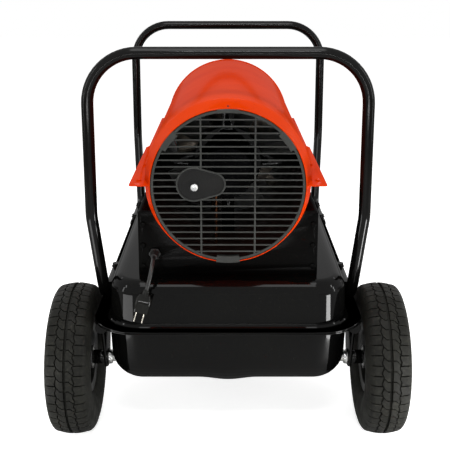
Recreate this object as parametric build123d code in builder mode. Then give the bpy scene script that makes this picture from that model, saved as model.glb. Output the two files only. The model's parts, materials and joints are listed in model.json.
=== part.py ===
from build123d import *
import math
import os

os.makedirs("parts", exist_ok=True)

# Forced air heater, fired by kerosene or diesel, on two pneumatic wheels and a tubular stand.
# +Z is up and +Y runs from the air intake to the hot outlet. The origin is on the floor, under
# the middle of the heater. Lengths are in millimetres.

# ---- driving dimensions --------------------------------------------------------------------
overall_length = 877.0
tyre_d, tyre_w = 260.0, 74.0           # a 10 inch pneumatic wheel
wheel_x = 265.0                        # middle of a wheel, from the centre line
axle_d = 16.0
tube_d = 20.0                          # handles and stand
handle_top_z = 663.0                   # middle of a handle's top tube
handle_half = 228.0                    # middle of a handle's upright, from the centre line
rail_x = 212.5                         # rails and handle feet, from the centre line
seam_z = 222.0                         # where the two halves of the tank meet
tank_len = 813.0
tank_bottom_z, tank_top_z = 117.0, 300.0
barrel_r, barrel_z = 133.0, 465.0      # outside radius and the height of its axis
base_half, base_top_z = 148.0, 409.0
sheet = 1.5                            # steel sheet of the barrel and its base

# ---- places along the heater, counted from the wheels' axle ----------------------------------
axle_y = tyre_d / 2 - overall_length / 2
axle_z = tyre_d / 2
tank_rear = axle_y - 113
tank_mid = tank_rear + tank_len / 2
guard_y = axle_y - 107
upper_rear, lower_rear = axle_y - 90, axle_y - 70
barrel_front = axle_y + 530
outlet_y = axle_y + 590
base_rear, base_front = axle_y - 45, axle_y + 480
rear_handle_y = axle_y - 17
front_handle_y = overall_length / 2 - tube_d / 2
stand_y = axle_y + 655

flange_t = 2.5                         # thickness of each tank flange
foot_z = seam_z + flange_t + tube_d / 2
rail_z = seam_z - flange_t - tube_d / 2
rear_lean, front_lean = 25.0, 100.0    # how far each handle's legs lean in above their feet
foot_len = 165.0
bolt_r, bolt_hole_r = 4.0, 4.2


def foot_bolts(handle_y, lean):
    """Places of the two bolts in each foot of a handle, on both sides of the heater."""
    way = math.copysign(1, lean)
    foot_y = handle_y + lean
    return [(side * rail_x, foot_y + way * along) for side in (-1, 1) for along in (50, 145)]


bolt_places = foot_bolts(rear_handle_y, rear_lean) + foot_bolts(front_handle_y, -front_lean)


def across(y):
    """Plane across the barrel, with its origin on the barrel's axis, facing the outlet."""
    return Plane(origin=(0, y, barrel_z), x_dir=(1, 0, 0), z_dir=(0, 1, 0))


def at(x, up):
    """Point of such a plane, x to the right of the barrel's axis and up above it."""
    return (x, -up)


along_barrel = Plane(origin=(0, 0, barrel_z), x_dir=(1, 0, 0), z_dir=(0, 0, 1))
barrel_axis = Axis((0, 0, barrel_z), (0, 1, 0))

# ---- wheels ----------------------------------------------------------------------------------
tyre_r = tyre_d / 2
bead_r, bead_y = 52.0, 23.0            # the rim's seat for the tyre, and its flange
hub_half = 28.0
bearing_r, bearing_w = 16.0, 12.0
running_gap = 0.05                     # radial clearance of what turns on a shaft
rim_bolt_circle, rim_bolt_r = 37.0, 4.0
disc_t = 4.0

for side, sign in (("left", -1), ("right", 1)):
    wheel_centre = (sign * wheel_x, axle_y, axle_z)
    # in a section, x is the radius and y runs outwards along the axle
    section = Plane(origin=wheel_centre, x_dir=(0, 1, 0), z_dir=(0, 0, -sign))
    face_on = Plane(origin=wheel_centre, x_dir=(0, 1, 0), z_dir=(sign, 0, 0))
    wheel_axis = Axis(wheel_centre, (1, 0, 0))

    with BuildPart() as tyre:
        shoulder_r, shoulder_y = tyre_r - 4.5, 28.0
        groove_y, groove_deep = 3.0, 5.0
        widest_r, half_w = tyre_r - 34, tyre_w / 2
        with BuildSketch(section):
            with BuildLine():
                for way in (-1, 1):
                    # wall of the tyre from its tread to its bead, then back inside to the crown
                    ThreePointArc(
                        (shoulder_r, way * shoulder_y), (tyre_r - 13, way * (half_w - 2.5)),
                        (widest_r, way * half_w),
                    )
                    ThreePointArc(
                        (widest_r, way * half_w), (tyre_r - 57, way * (half_w - 5)), (bead_r + 9, way * bead_y)
                    )
                    Polyline(
                        (bead_r + 9, way * bead_y), (bead_r, way * bead_y),
                        (bead_r, way * 14), (bead_r + 12, way * 15),
                    )
                    ThreePointArc((bead_r + 12, way * 15), (tyre_r - 38, way * 29), (tyre_r - 12, 0))
                Polyline(
                    (shoulder_r, -shoulder_y), (tyre_r - 1.2, -14), (tyre_r, -groove_y),
                    (tyre_r - groove_deep, -groove_y / 2), (tyre_r - groove_deep, groove_y / 2),
                    (tyre_r, groove_y), (tyre_r - 1.2, 14), (shoulder_r, shoulder_y),
                )
            make_face()
        revolve(axis=wheel_axis)
    tyre.part.label = f"tyre_{side}"
    export_step(tyre.part, f"parts/tyre_{side}.step")

    with BuildPart() as rim:
        hub_r = bearing_r + 4
        step_y = hub_half - bearing_w
        with BuildSketch(section):
            with BuildLine():
                Polyline(
                    (13, step_y), (bearing_r, step_y), (bearing_r, hub_half), (hub_r, hub_half),
                    (hub_r, 12), (30, disc_t), (44, disc_t), (47, 25), (bead_r + 8, 27),
                    (bead_r + 8, bead_y), (bead_r, bead_y), (bead_r, 14), (49, 8), (49, -8),
                    (bead_r, -14), (bead_r, -bead_y), (bead_r + 8, -bead_y), (bead_r + 8, -27),
                    (47, -25), (44, 0), (30, 0), (hub_r, -8), (hub_r, -hub_half),
                    (bearing_r, -hub_half), (bearing_r, -step_y), (13, -step_y), close=True,
                )
            make_face()
        revolve(axis=wheel_axis)
        with BuildSketch(face_on.offset(-10)):
            with PolarLocations(rim_bolt_circle, 4, start_angle=45):
                Circle(rim_bolt_r + 0.1)
        extrude(amount=30, mode=Mode.SUBTRACT)
    rim.part.label = f"rim_{side}"
    export_step(rim.part, f"parts/rim_{side}.step")

    with BuildPart() as bearings:
        with BuildSketch(face_on.offset(step_y), face_on.offset(-hub_half)):
            Circle(bearing_r)
            Circle(axle_d / 2 + running_gap, mode=Mode.SUBTRACT)
        extrude(amount=bearing_w)
    bearings.part.label = f"bearings_{side}"
    export_step(bearings.part, f"parts/bearings_{side}.step")

    with BuildPart() as rim_bolts:
        with BuildSketch(face_on.offset(disc_t), face_on.offset(-5)):
            with PolarLocations(rim_bolt_circle, 4, start_angle=45):
                RegularPolygon(6.3, 6)
        extrude(amount=5)
        with BuildSketch(face_on):
            with PolarLocations(rim_bolt_circle, 4, start_angle=45):
                Circle(rim_bolt_r)
        extrude(amount=disc_t)
    rim_bolts.part.label = f"rim_bolts_{side}"
    export_step(rim_bolts.part, f"parts/rim_bolts_{side}.step")

# ---- axle, with its spacers and nuts -----------------------------------------------------------
bracket_t = 5.0
spacer_r = 12.0
hub_play = 0.4
spacer_x = rail_x + bracket_t / 2
nut_x, nut_t = wheel_x + hub_half + hub_play, 8.0
axle_half = nut_x + nut_t + 1

with BuildPart() as axle:
    with BuildSketch(Plane(origin=(-axle_half, axle_y, axle_z), z_dir=(1, 0, 0))):
        Circle(axle_d / 2)
    extrude(amount=2 * axle_half)
    chamfer(axle.edges().filter_by(GeomType.CIRCLE), 0.8)
axle.part.label = "axle"
export_step(axle.part, "parts/axle.step")

with BuildPart() as axle_spacers:
    for side in (-1, 1):
        with BuildSketch(Plane(origin=(side * spacer_x, axle_y, axle_z), z_dir=(side, 0, 0))):
            Circle(spacer_r)
            Circle(axle_d / 2, mode=Mode.SUBTRACT)
        extrude(amount=wheel_x - hub_half - hub_play - spacer_x)
axle_spacers.part.label = "axle_spacers"
export_step(axle_spacers.part, "parts/axle_spacers.step")

with BuildPart() as axle_nuts:
    for side in (-1, 1):
        with BuildSketch(Plane(origin=(side * nut_x, axle_y, axle_z), z_dir=(side, 0, 0))):
            RegularPolygon(13, 6)
            Circle(axle_d / 2, mode=Mode.SUBTRACT)
        extrude(amount=nut_t)
axle_nuts.part.label = "axle_nuts"
export_step(axle_nuts.part, "parts/axle_nuts.step")

# ---- stand: one bent tube under the tank's flange, with a bracket for the axle at each side -------
bar_z = tube_d / 2 - 0.6               # the tube is flattened where it stands on the floor
bar_y = stand_y + 12

with BuildPart() as stand_frame:
    rail_rear = axle_y - 60
    with BuildLine() as stand_path:
        FilletPolyline(
            (-rail_x, rail_rear, rail_z), (-rail_x, stand_y, rail_z), (-rail_x + 12, bar_y, bar_z),
            (rail_x - 12, bar_y, bar_z), (rail_x, stand_y, rail_z), (rail_x, rail_rear, rail_z),
            radius=[50, 50, 50, 50],
        )
    with BuildSketch(Plane(origin=(-rail_x, rail_rear, rail_z), z_dir=(0, 1, 0))):
        Circle(tube_d / 2)
    sweep(path=stand_path.line)
    with BuildSketch(Plane.XY):
        with Locations((0, bar_y)):
            Rectangle(2 * rail_x, 3 * tube_d)
    extrude(amount=-tube_d, mode=Mode.SUBTRACT)
    for side in (-1, 1):
        plate = Plane(origin=(side * rail_x - bracket_t / 2, axle_y, axle_z), x_dir=(0, 1, 0), z_dir=(1, 0, 0))
        with BuildSketch(plate):
            top = rail_z - tube_d / 2 + 3 - axle_z
            with BuildLine():
                Polyline((48, top), (-48, top), (-17, -15), (17, -15), close=True)
            make_face()
            fillet(vertices().sort_by(Axis.Y)[:2], 12)
            Circle(axle_d / 2, mode=Mode.SUBTRACT)
        extrude(amount=bracket_t)
    with Locations(*[(x, y, rail_z) for x, y in bolt_places]):
        Cylinder(bolt_hole_r, 1.5 * tube_d, mode=Mode.SUBTRACT)
stand_frame.part.label = "stand_frame"
export_step(stand_frame.part, "parts/stand_frame.step")

# ---- handles: two bent tubes whose legs lean in and lie along the tank's flange ---------------------
bend_z = 392.0

for name, handle_y, lean in (
    ("rear_handle", rear_handle_y, rear_lean), ("front_handle", front_handle_y, -front_lean),
):
    way = math.copysign(1, lean)
    foot_y = handle_y + lean
    with BuildPart() as handle:
        right_side = [
            (rail_x, foot_y + way * foot_len, foot_z), (rail_x, foot_y, foot_z),
            (handle_half, handle_y, bend_z), (handle_half, handle_y, handle_top_z),
        ]
        left_side = [(-x, y, z) for x, y, z in reversed(right_side)]
        with BuildLine() as handle_path:
            FilletPolyline(*right_side, *left_side, radius=[45, 70, 82, 82, 70, 45])
        with BuildSketch(Plane(origin=right_side[0], z_dir=(0, -way, 0))):
            Circle(tube_d / 2)
        sweep(path=handle_path.line)
        with Locations(*[(x, y, foot_z) for x, y in foot_bolts(handle_y, lean)]):
            Cylinder(bolt_hole_r, 1.5 * tube_d, mode=Mode.SUBTRACT)
    handle.part.label = name
    export_step(handle.part, f"parts/{name}.step")

with BuildPart() as handle_bolts:
    head_z, nut_z = foot_z + tube_d / 2, rail_z - tube_d / 2
    for height, shape_r in ((head_z, 8.0), (nut_z - 6, 7.5)):
        with BuildSketch(Plane.XY.offset(height)):
            with Locations(*bolt_places):
                RegularPolygon(shape_r, 6)
        extrude(amount=6)
    with BuildSketch(Plane.XY.offset(nut_z - 8)):
        with Locations(*bolt_places):
            Circle(bolt_r)
    extrude(amount=head_z + 2 - nut_z + 8)
handle_bolts.part.label = "handle_bolts"
export_step(handle_bolts.part, "parts/handle_bolts.step")

# ---- fuel tank: two pressed halves, whose flanges are welded together -------------------------------
flange_half, flange_corner = 225.0, 78.0
lower_half, upper_half = 200.0, 198.0
end_inset, body_corner = 22.0, 58.0
tank_sheet = 2.0
draft = 2.0
body_len = tank_len - 2 * end_inset
filler = (-112.0, axle_y + 590)
gauge = (112.0, axle_y + 590)
pickup = (30.0, axle_y + 225)
filler_r, gauge_r, pickup_r = 26.0, 18.0, 7.0


def pressed_body(half_width, length, corner, depth, edge_r):
    """Drawn body of one tank half, from the seam up or down, with its far edge rounded."""
    with BuildPart() as body:
        with BuildSketch(Plane(origin=(0, tank_mid, seam_z))):
            RectangleRounded(2 * half_width, length, corner)
        extrude(amount=depth, taper=draft)
        far_face = body.faces().sort_by(Axis.Z)[-1 if depth > 0 else 0]
        fillet(far_face.edges(), edge_r)
    return body.part


def axle_channel(grow):
    """Space across the tank's underside that the axle passes through, grown all round."""
    channel_r = 16 + grow
    with BuildPart() as channel:
        with BuildSketch(Plane(origin=(-flange_half, axle_y, axle_z), x_dir=(0, 1, 0), z_dir=(1, 0, 0))):
            Circle(channel_r)
            with Locations((0, -tyre_r / 2)):
                Rectangle(2 * channel_r, tyre_r)
        extrude(amount=2 * flange_half)
    return channel.part


def pressed_half(half_width, depth, edge_r, flange_depth):
    """One tank half: its drawn body of even thickness and its flange, with the bolts' holes."""
    inner_depth = depth - math.copysign(tank_sheet, depth)
    inner_size = (half_width - tank_sheet, body_len - 2 * tank_sheet, body_corner - tank_sheet)
    outside = pressed_body(half_width, body_len, body_corner, depth, edge_r)
    inside = pressed_body(*inner_size, inner_depth, edge_r - tank_sheet)
    if depth < 0:
        outside -= axle_channel(0)
        inside -= axle_channel(tank_sheet)
    with BuildPart() as half:
        add(outside)
        with BuildSketch(Plane(origin=(0, tank_mid, seam_z))):
            RectangleRounded(2 * flange_half, tank_len, flange_corner)
            with Locations(*[(x, y - tank_mid) for x, y in bolt_places]):
                Circle(bolt_hole_r, mode=Mode.SUBTRACT)
        extrude(amount=flange_depth)
        add(inside, mode=Mode.SUBTRACT)
    return half.part


with BuildPart() as tank_lower:
    add(pressed_half(lower_half, tank_bottom_z - seam_z, 48, -flange_t))
    # a pressed low point, where water in the fuel settles
    with BuildSketch(Plane(origin=(0, axle_y - 52, tank_bottom_z))):
        RectangleRounded(88, 52, 24)
    extrude(amount=-3.5, taper=45)
tank_lower.part.label = "tank_lower"
export_step(tank_lower.part, "parts/tank_lower.step")

with BuildPart() as tank_upper:
    add(pressed_half(upper_half, tank_top_z - seam_z, 22, flange_t))
    for (x, y), hole_r in ((filler, filler_r - 4), (gauge, gauge_r - 6), (pickup, pickup_r)):
        with Locations((x, y, tank_top_z)):
            Cylinder(hole_r, 10, mode=Mode.SUBTRACT)
tank_upper.part.label = "tank_upper"
export_step(tank_upper.part, "parts/tank_upper.step")

neck_h = 16.0
with BuildPart() as filler_neck:
    with BuildSketch(Plane.XY.offset(tank_top_z)):
        with Locations(filler):
            Circle(filler_r + 7)
    extrude(amount=2)
    with BuildSketch(Plane.XY.offset(tank_top_z)):
        with Locations(filler):
            Circle(filler_r)
    extrude(amount=neck_h)
    with BuildSketch(Plane.XY.offset(tank_top_z)):
        with Locations(filler):
            Circle(filler_r - 4)
    extrude(amount=neck_h, mode=Mode.SUBTRACT)
filler_neck.part.label = "filler_neck"
export_step(filler_neck.part, "parts/filler_neck.step")

with BuildPart() as fuel_cap:
    # a plug turns in the neck's bore, under a scalloped grip with a raised bar
    cap_z, grip_h = tank_top_z + neck_h + 0.3, 13.0
    with BuildSketch(Plane.XY.offset(cap_z)):
        with Locations(filler):
            Circle(filler_r + 7)
            with PolarLocations(filler_r + 9, 12):
                Circle(4, mode=Mode.SUBTRACT)
    extrude(amount=grip_h)
    fillet(fuel_cap.faces().sort_by(Axis.Z)[-1].edges(), 1.5)
    with BuildSketch(Plane.XY.offset(cap_z + grip_h)):
        with Locations(filler):
            SlotOverall(42, 9)
    extrude(amount=6)
    with BuildSketch(Plane.XY.offset(cap_z)):
        with Locations(filler):
            Circle(filler_r - 4 - running_gap)
    extrude(amount=-10)
fuel_cap.part.label = "fuel_cap"
export_step(fuel_cap.part, "parts/fuel_cap.step")

with BuildPart() as fuel_gauge:
    float_z = tank_top_z - 90
    for low, high, part_r in (
        (tank_top_z, tank_top_z + 8, gauge_r), (float_z, tank_top_z + 1, 3), (float_z - 18, float_z, 11),
    ):
        with BuildSketch(Plane.XY.offset(low)):
            with Locations(gauge):
                Circle(part_r)
        extrude(amount=high - low)
fuel_gauge.part.label = "fuel_gauge"
export_step(fuel_gauge.part, "parts/fuel_gauge.step")

line_r = 3.0
pickup_top_z = tank_top_z + 4
with BuildPart() as fuel_pickup:
    for low, high, part_r in ((tank_top_z, pickup_top_z, 14), (180, tank_top_z, line_r), (152, 180, 6.5)):
        with BuildSketch(Plane.XY.offset(low)):
            with Locations(pickup):
                Circle(part_r)
        extrude(amount=high - low)
fuel_pickup.part.label = "fuel_pickup"
export_step(fuel_pickup.part, "parts/fuel_pickup.step")

# ---- barrel: a lower and an upper half shell, screwed together along their side flanges ------------
shell_flange_t = 2.0
shell_screw_x, shell_screw_r = 144.5, 2.4
shell_screw_places = [
    (side * shell_screw_x, axle_y - 51 + 107 * step) for side in (-1, 1) for step in range(6)
]
air_line_x = -30.0
air_port = (-20.0, axle_y + 20)

with BuildPart() as lower_shell:
    with BuildSketch(along_barrel):
        with Locations((barrel_r - sheet / 2, (lower_rear + barrel_front) / 2)):
            Rectangle(sheet, barrel_front - lower_rear)
    revolve(axis=barrel_axis, revolution_arc=180)
    for side in (-1, 1):
        with BuildSketch(along_barrel):
            with Locations((side * (barrel_r + 7), (lower_rear + barrel_front) / 2)):
                Rectangle(15.5, barrel_front - lower_rear)
        extrude(amount=-shell_flange_t)
    with Locations(*[(x, y, barrel_z) for x, y in shell_screw_places]):
        Cylinder(shell_screw_r + 0.1, 10, mode=Mode.SUBTRACT)
    for x, y in (pickup, (air_line_x, pickup[1]), air_port):
        with Locations((x, y, barrel_z - barrel_r)):
            Cylinder(line_r + 1.5, 40, mode=Mode.SUBTRACT)
lower_shell.part.label = "lower_shell"
export_step(lower_shell.part, "parts/lower_shell.step")

mouth_r = 127.0
lip_len, cone_len = 8.0, 34.0
cone_end = upper_rear + lip_len + cone_len
ear_x, ear_len = 155.5, 285.0
narrow_x = 150.0

with BuildPart() as upper_shell:
    with BuildSketch(along_barrel):
        with BuildLine():
            Polyline(
                (mouth_r, upper_rear), (mouth_r, upper_rear + lip_len), (barrel_r, cone_end),
                (barrel_r, barrel_front), (barrel_r - sheet, barrel_front), (barrel_r - sheet, cone_end),
                (mouth_r - sheet, upper_rear + lip_len), (mouth_r - sheet, upper_rear), close=True,
            )
        make_face()
    revolve(axis=barrel_axis, revolution_arc=-180)
    for side in (-1, 1):
        with BuildSketch(along_barrel):
            with BuildLine():
                ear_end = upper_rear + ear_len
                mid_wall = sheet / 2
                Polyline(
                    (side * (mouth_r - mid_wall), upper_rear), (side * ear_x, upper_rear),
                    (side * ear_x, ear_end), (side * narrow_x, ear_end + 12), (side * narrow_x, barrel_front),
                    (side * (barrel_r - mid_wall), barrel_front), (side * (barrel_r - mid_wall), cone_end),
                    (side * (mouth_r - mid_wall), upper_rear + lip_len), close=True,
                )
            make_face()
        extrude(amount=shell_flange_t)
    with Locations(*[(x, y, barrel_z) for x, y in shell_screw_places]):
        Cylinder(shell_screw_r + 0.1, 10, mode=Mode.SUBTRACT)
    with Locations((0, upper_rear + 4, barrel_z + mouth_r)):
        Cylinder(2.6, 10, mode=Mode.SUBTRACT)
upper_shell.part.label = "upper_shell"
export_step(upper_shell.part, "parts/upper_shell.step")

with BuildPart() as shell_screws:
    for low, high, part_r in (
        (barrel_z - 6, barrel_z + shell_flange_t, shell_screw_r),
        (barrel_z + shell_flange_t, barrel_z + shell_flange_t + 2.4, 4.6),
        (barrel_z - shell_flange_t - 2.5, barrel_z - shell_flange_t, 4.4),
    ):
        with BuildSketch(Plane.XY.offset(low)):
            with Locations(*shell_screw_places):
                Circle(part_r)
        extrude(amount=high - low)
shell_screws.part.label = "shell_screws"
export_step(shell_screws.part, "parts/shell_screws.step")

slip_r = barrel_r - sheet
spigot_r, spigot_len = 112.0, 16.0
with BuildPart() as outlet_cone:
    # spun nose: it slips into the shells, steps over their ends and narrows to a spigot
    with BuildSketch(along_barrel):
        with BuildLine():
            Polyline(
                (slip_r, barrel_front - 16), (slip_r, barrel_front), (barrel_r + 1.5, barrel_front),
                (barrel_r + 1.5, barrel_front + 6), (spigot_r, outlet_y - spigot_len), (spigot_r, outlet_y),
                (spigot_r - sheet, outlet_y), (spigot_r - sheet, outlet_y - spigot_len),
                (slip_r - sheet, barrel_front + 4), (slip_r - sheet, barrel_front - 16), close=True,
            )
        make_face()
    revolve(axis=barrel_axis)
outlet_cone.part.label = "outlet_cone"
export_step(outlet_cone.part, "parts/outlet_cone.step")

# ---- air intake guard: a moulded grille that holds a pear-shaped plate -------------------------------
ring_r, ring_in = 124.0, 119.5
bar_pitch, bar_t, bar_count = 11.7, 2.6, 21
post_x, post_t = 44.4, 3.2
guard_t = 4.0
pear_big, pear_small = (-53.5, 2.0, 26.2), (-22.8, 2.0, 18.2)   # centre and radius of each end
pear_wall = 1.5
plate_t = 1.6


def pear_outline(grow):
    """Face whose outline wraps the pear's two circles, grown outwards."""
    with BuildSketch() as outline:
        for x, up, end_r in (pear_big, pear_small):
            with Locations(at(x, up)):
                Circle(end_r + grow)
        make_hull()
    return outline.sketch


def lug_outline(angle, width, outer_r, inner_r):
    """Face of even width between two radii, at an angle round the guard's centre."""
    with BuildSketch() as outline:
        with Locations(Location((0, 0), -angle)):
            with Locations((outer_r / 2, 0)):
                Rectangle(outer_r + 20, width)
        Circle(outer_r, mode=Mode.INTERSECT)
        Circle(inner_r, mode=Mode.SUBTRACT)
        with Locations(Location((0, 0), 180 - angle)):
            with Locations((outer_r, 0)):
                Rectangle(2 * outer_r, 2 * outer_r + 40, mode=Mode.SUBTRACT)
    return outline.sketch


pear_outer, pear_inner = pear_outline(pear_wall), pear_outline(-pear_wall)

with BuildPart() as intake_guard:
    with BuildSketch(across(guard_y)):
        Circle(ring_r)
        Circle(ring_in, mode=Mode.SUBTRACT)
        for row in range(bar_count):
            up = (row - bar_count // 2) * bar_pitch
            with Locations(at(0, up)):
                Rectangle(2 * math.sqrt(ring_in**2 - up**2) + 3, bar_t)
        for x in (-post_x, post_x):
            with Locations(at(x, 0)):
                Rectangle(post_t, 2 * math.sqrt(ring_in**2 - x**2) + 3)
        add(pear_outer)
        add(pear_inner, mode=Mode.SUBTRACT)
    extrude(amount=guard_t)
    # lugs on the ring: two broad ones and a small one at the upper lip, the widest at the lower shell
    upper_leg_r, lower_leg_r = mouth_r - sheet, barrel_r - sheet
    upper_leg_end, lower_leg_end = upper_rear + lip_len, lower_rear + 14
    lugs = (
        (38, 36, upper_leg_r, upper_leg_end), (142, 36, upper_leg_r, upper_leg_end),
        (90, 14, upper_leg_r, upper_leg_end), (270, 52, lower_leg_r, lower_leg_end),
    )
    for angle, width, leg_r, leg_end in lugs:
        with BuildSketch(across(guard_y)):
            add(lug_outline(angle, width, leg_r, ring_in - 1))
        extrude(amount=guard_t)
intake_guard.part.label = "intake_guard"
export_step(intake_guard.part, "parts/intake_guard.step")

with BuildPart() as guard_clips:
    # a leg behind each lug reaches into the barrel and grips its wall
    leg_t = 3.0
    for angle, width, leg_r, leg_end in lugs:
        with BuildSketch(across(guard_y + guard_t)):
            add(lug_outline(angle, width, leg_r, leg_r - leg_t))
        extrude(amount=leg_end - guard_y - guard_t)
guard_clips.part.label = "guard_clips"
export_step(guard_clips.part, "parts/guard_clips.step")

with BuildPart() as guard_plate:
    with BuildSketch(across(guard_y + 1)):
        add(pear_inner)
        with Locations(at(pear_big[0], pear_big[1])):
            Circle(3.2, mode=Mode.SUBTRACT)
    extrude(amount=plate_t)
guard_plate.part.label = "guard_plate"
export_step(guard_plate.part, "parts/guard_plate.step")

# ---- motor, air pump and fan, all on the barrel's axis ------------------------------------------------
pump_rear, pump_front = axle_y - 6, axle_y + 40
motor_rear, motor_front = pump_front + 6, axle_y + 150
motor_r, pump_r, shaft_r = 46.0, 42.0, 5.0
cover_t, filter_t = 10.0, 12.0
bracket_y, bracket_sheet = axle_y + 86, 3.0
bracket_bolt_circle = 66.0
pump_screw_places = [at(0, 37), at(37, 0), at(0, -37)]
filter_at, filter_screw_at = at(-46, 2), at(-60, 12)

with BuildPart() as guard_screw:
    # its slotted head holds the plate, and its stem reaches the pump's cover
    stem_end = pump_rear - cover_t - filter_t
    for start, end, part_r in ((guard_y - 2.2, guard_y + 1, 6.4), (guard_y + 1, stem_end, 3.0)):
        with BuildSketch(across(start)):
            with Locations(at(pear_big[0], pear_big[1])):
                Circle(part_r)
        extrude(amount=end - start)
    with BuildSketch(across(guard_y - 2.2)):
        with Locations(at(pear_big[0], pear_big[1])):
            Rectangle(1.6, 14)
    extrude(amount=1.2, mode=Mode.SUBTRACT)
guard_screw.part.label = "guard_screw"
export_step(guard_screw.part, "parts/guard_screw.step")

with BuildPart() as motor_body:
    with BuildSketch(across(motor_rear)):
        Circle(motor_r)
    extrude(amount=motor_front - motor_rear)
    chamfer(motor_body.edges().filter_by(GeomType.CIRCLE).sort_by(Axis.Y)[-1], 7)
    with BuildSketch(across(motor_front - 14)):
        with PolarLocations(30, 8):
            Rectangle(12, 4)
    extrude(amount=14, mode=Mode.SUBTRACT)
    with BuildSketch(across(motor_rear)):
        Circle(shaft_r + running_gap)
    extrude(amount=motor_front - motor_rear, mode=Mode.SUBTRACT)
motor_body.part.label = "motor_body"
export_step(motor_body.part, "parts/motor_body.step")

with BuildPart() as motor_bracket:
    # a pressed ring on four arms, whose feet lie along the shells
    for start, depth, inner_r in ((bracket_y, bracket_sheet, motor_r), (bracket_y, 18, slip_r - bracket_sheet)):
        with BuildSketch(across(start)):
            for turn in (0, 90):
                Rectangle(2 * slip_r + 10, 22, rotation=turn)
            if inner_r == motor_r:
                Circle(60)
            Circle(slip_r, mode=Mode.INTERSECT)
            Circle(inner_r, mode=Mode.SUBTRACT)
            with PolarLocations(bracket_bolt_circle, 4):
                Circle(3, mode=Mode.SUBTRACT)
        extrude(amount=depth)
motor_bracket.part.label = "motor_bracket"
export_step(motor_bracket.part, "parts/motor_bracket.step")

with BuildPart() as bracket_bolts:
    with BuildSketch(across(bracket_y - 4), across(bracket_y + bracket_sheet)):
        with PolarLocations(bracket_bolt_circle, 4):
            RegularPolygon(5.5, 6)
    extrude(amount=4)
    with BuildSketch(across(bracket_y)):
        with PolarLocations(bracket_bolt_circle, 4):
            Circle(2.9)
    extrude(amount=bracket_sheet)
bracket_bolts.part.label = "bracket_bolts"
export_step(bracket_bolts.part, "parts/bracket_bolts.step")

with BuildPart() as pump_body:
    # a ring round the rotor's eccentric chamber, with a port below for the air line
    with BuildSketch(across(pump_rear)):
        Circle(pump_r)
    extrude(amount=pump_front - pump_rear)
    with BuildSketch(Plane(origin=(*air_port, barrel_z - pump_r - 4))):
        Circle(7)
    extrude(amount=20)
    with BuildSketch(across(pump_rear)):
        with Locations(at(0, 4)):
            Circle(30)
    extrude(amount=pump_front - pump_rear, mode=Mode.SUBTRACT)
    with BuildSketch(across(pump_front)):
        Circle(pump_r)
        Circle(shaft_r + running_gap, mode=Mode.SUBTRACT)
    extrude(amount=motor_rear - pump_front)
    with BuildSketch(across(pump_rear)):
        with Locations(*pump_screw_places):
            Circle(2.6)
    extrude(amount=30, mode=Mode.SUBTRACT)
pump_body.part.label = "pump_body"
export_step(pump_body.part, "parts/pump_body.step")

with BuildPart() as pump_cover:
    # end cover with the filters' round housing at its side
    with BuildSketch(across(pump_rear - cover_t)):
        Circle(pump_r)
        with Locations(filter_at):
            Circle(24)
        make_hull()
        with Locations(*pump_screw_places):
            Circle(2.6, mode=Mode.SUBTRACT)
    extrude(amount=cover_t)
    with BuildSketch(across(pump_rear - cover_t - filter_t)):
        with Locations(filter_at):
            Circle(22)
        with Locations(filter_screw_at):
            Circle(2.6, mode=Mode.SUBTRACT)
    extrude(amount=filter_t)
pump_cover.part.label = "pump_cover"
export_step(pump_cover.part, "parts/pump_cover.step")

with BuildPart() as pump_screws:
    screw_groups = (
        (pump_screw_places, pump_rear - cover_t, pump_rear + 24),
        ([filter_screw_at], pump_rear - cover_t - filter_t, pump_rear - cover_t),
    )
    for places, start, end in screw_groups:
        with BuildSketch(across(start - 3)):
            with Locations(*places):
                Circle(4.6)
        extrude(amount=3)
        with BuildSketch(across(start)):
            with Locations(*places):
                Circle(2.5)
        extrude(amount=end - start)
pump_screws.part.label = "pump_screws"
export_step(pump_screws.part, "parts/pump_screws.step")

fan_y, fan_hub_len = axle_y + 170, 32.0
with BuildPart() as motor_shaft:
    with BuildSketch(across(pump_rear + 2)):
        Circle(shaft_r)
    extrude(amount=fan_y + fan_hub_len + 3 - pump_rear - 2)
motor_shaft.part.label = "motor_shaft"
export_step(motor_shaft.part, "parts/motor_shaft.step")

with BuildPart() as pump_rotor:
    rotor_r = 25.5
    with BuildSketch(across(pump_rear + 0.4)):
        Circle(rotor_r)
        with PolarLocations(rotor_r - 3, 4):
            Rectangle(12, 3, mode=Mode.SUBTRACT)
        Circle(shaft_r, mode=Mode.SUBTRACT)
    extrude(amount=pump_front - pump_rear - 0.8)
pump_rotor.part.label = "pump_rotor"
export_step(pump_rotor.part, "parts/pump_rotor.step")

with BuildPart() as fan:
    # spun hub with five blades, whose pitch flattens towards their tips
    fan_hub_r, fan_r, blade_count = 27.0, 120.0, 5
    with BuildSketch(across(fan_y)):
        Circle(fan_hub_r)
    extrude(amount=fan_hub_len)
    fillet(fan.edges().filter_by(GeomType.CIRCLE).sort_by(Axis.Y)[-1], 5)
    for blade in range(blade_count):
        turn = 2 * math.pi / blade_count * blade
        outwards = (math.cos(turn), 0, math.sin(turn))
        root = Plane(origin=(0, fan_y + fan_hub_len / 2, barrel_z), x_dir=(0, 1, 0), z_dir=outwards)
        for radius, chord, thick, pitch in (
            (fan_hub_r - 5, 42, 2.6, 52), (70, 62, 2.2, 62), (fan_r + 3, 74, 1.8, 69),
        ):
            with BuildSketch(root.offset(radius)):
                Rectangle(chord, thick, rotation=pitch)
        loft()
    with BuildSketch(across(fan_y - 10)):
        Circle(fan_r)
    extrude(amount=fan_hub_len + 20, mode=Mode.INTERSECT)
    with BuildSketch(across(fan_y - 10)):
        Circle(shaft_r)
    extrude(amount=fan_hub_len + 20, mode=Mode.SUBTRACT)
fan.part.label = "fan"
export_step(fan.part, "parts/fan.step")

# ---- combustion chamber and burner ----------------------------------------------------------------------
chamber_r = 100.0
chamber_rear, chamber_front = axle_y + 240, axle_y + 545
throat_r = 24.0

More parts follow.
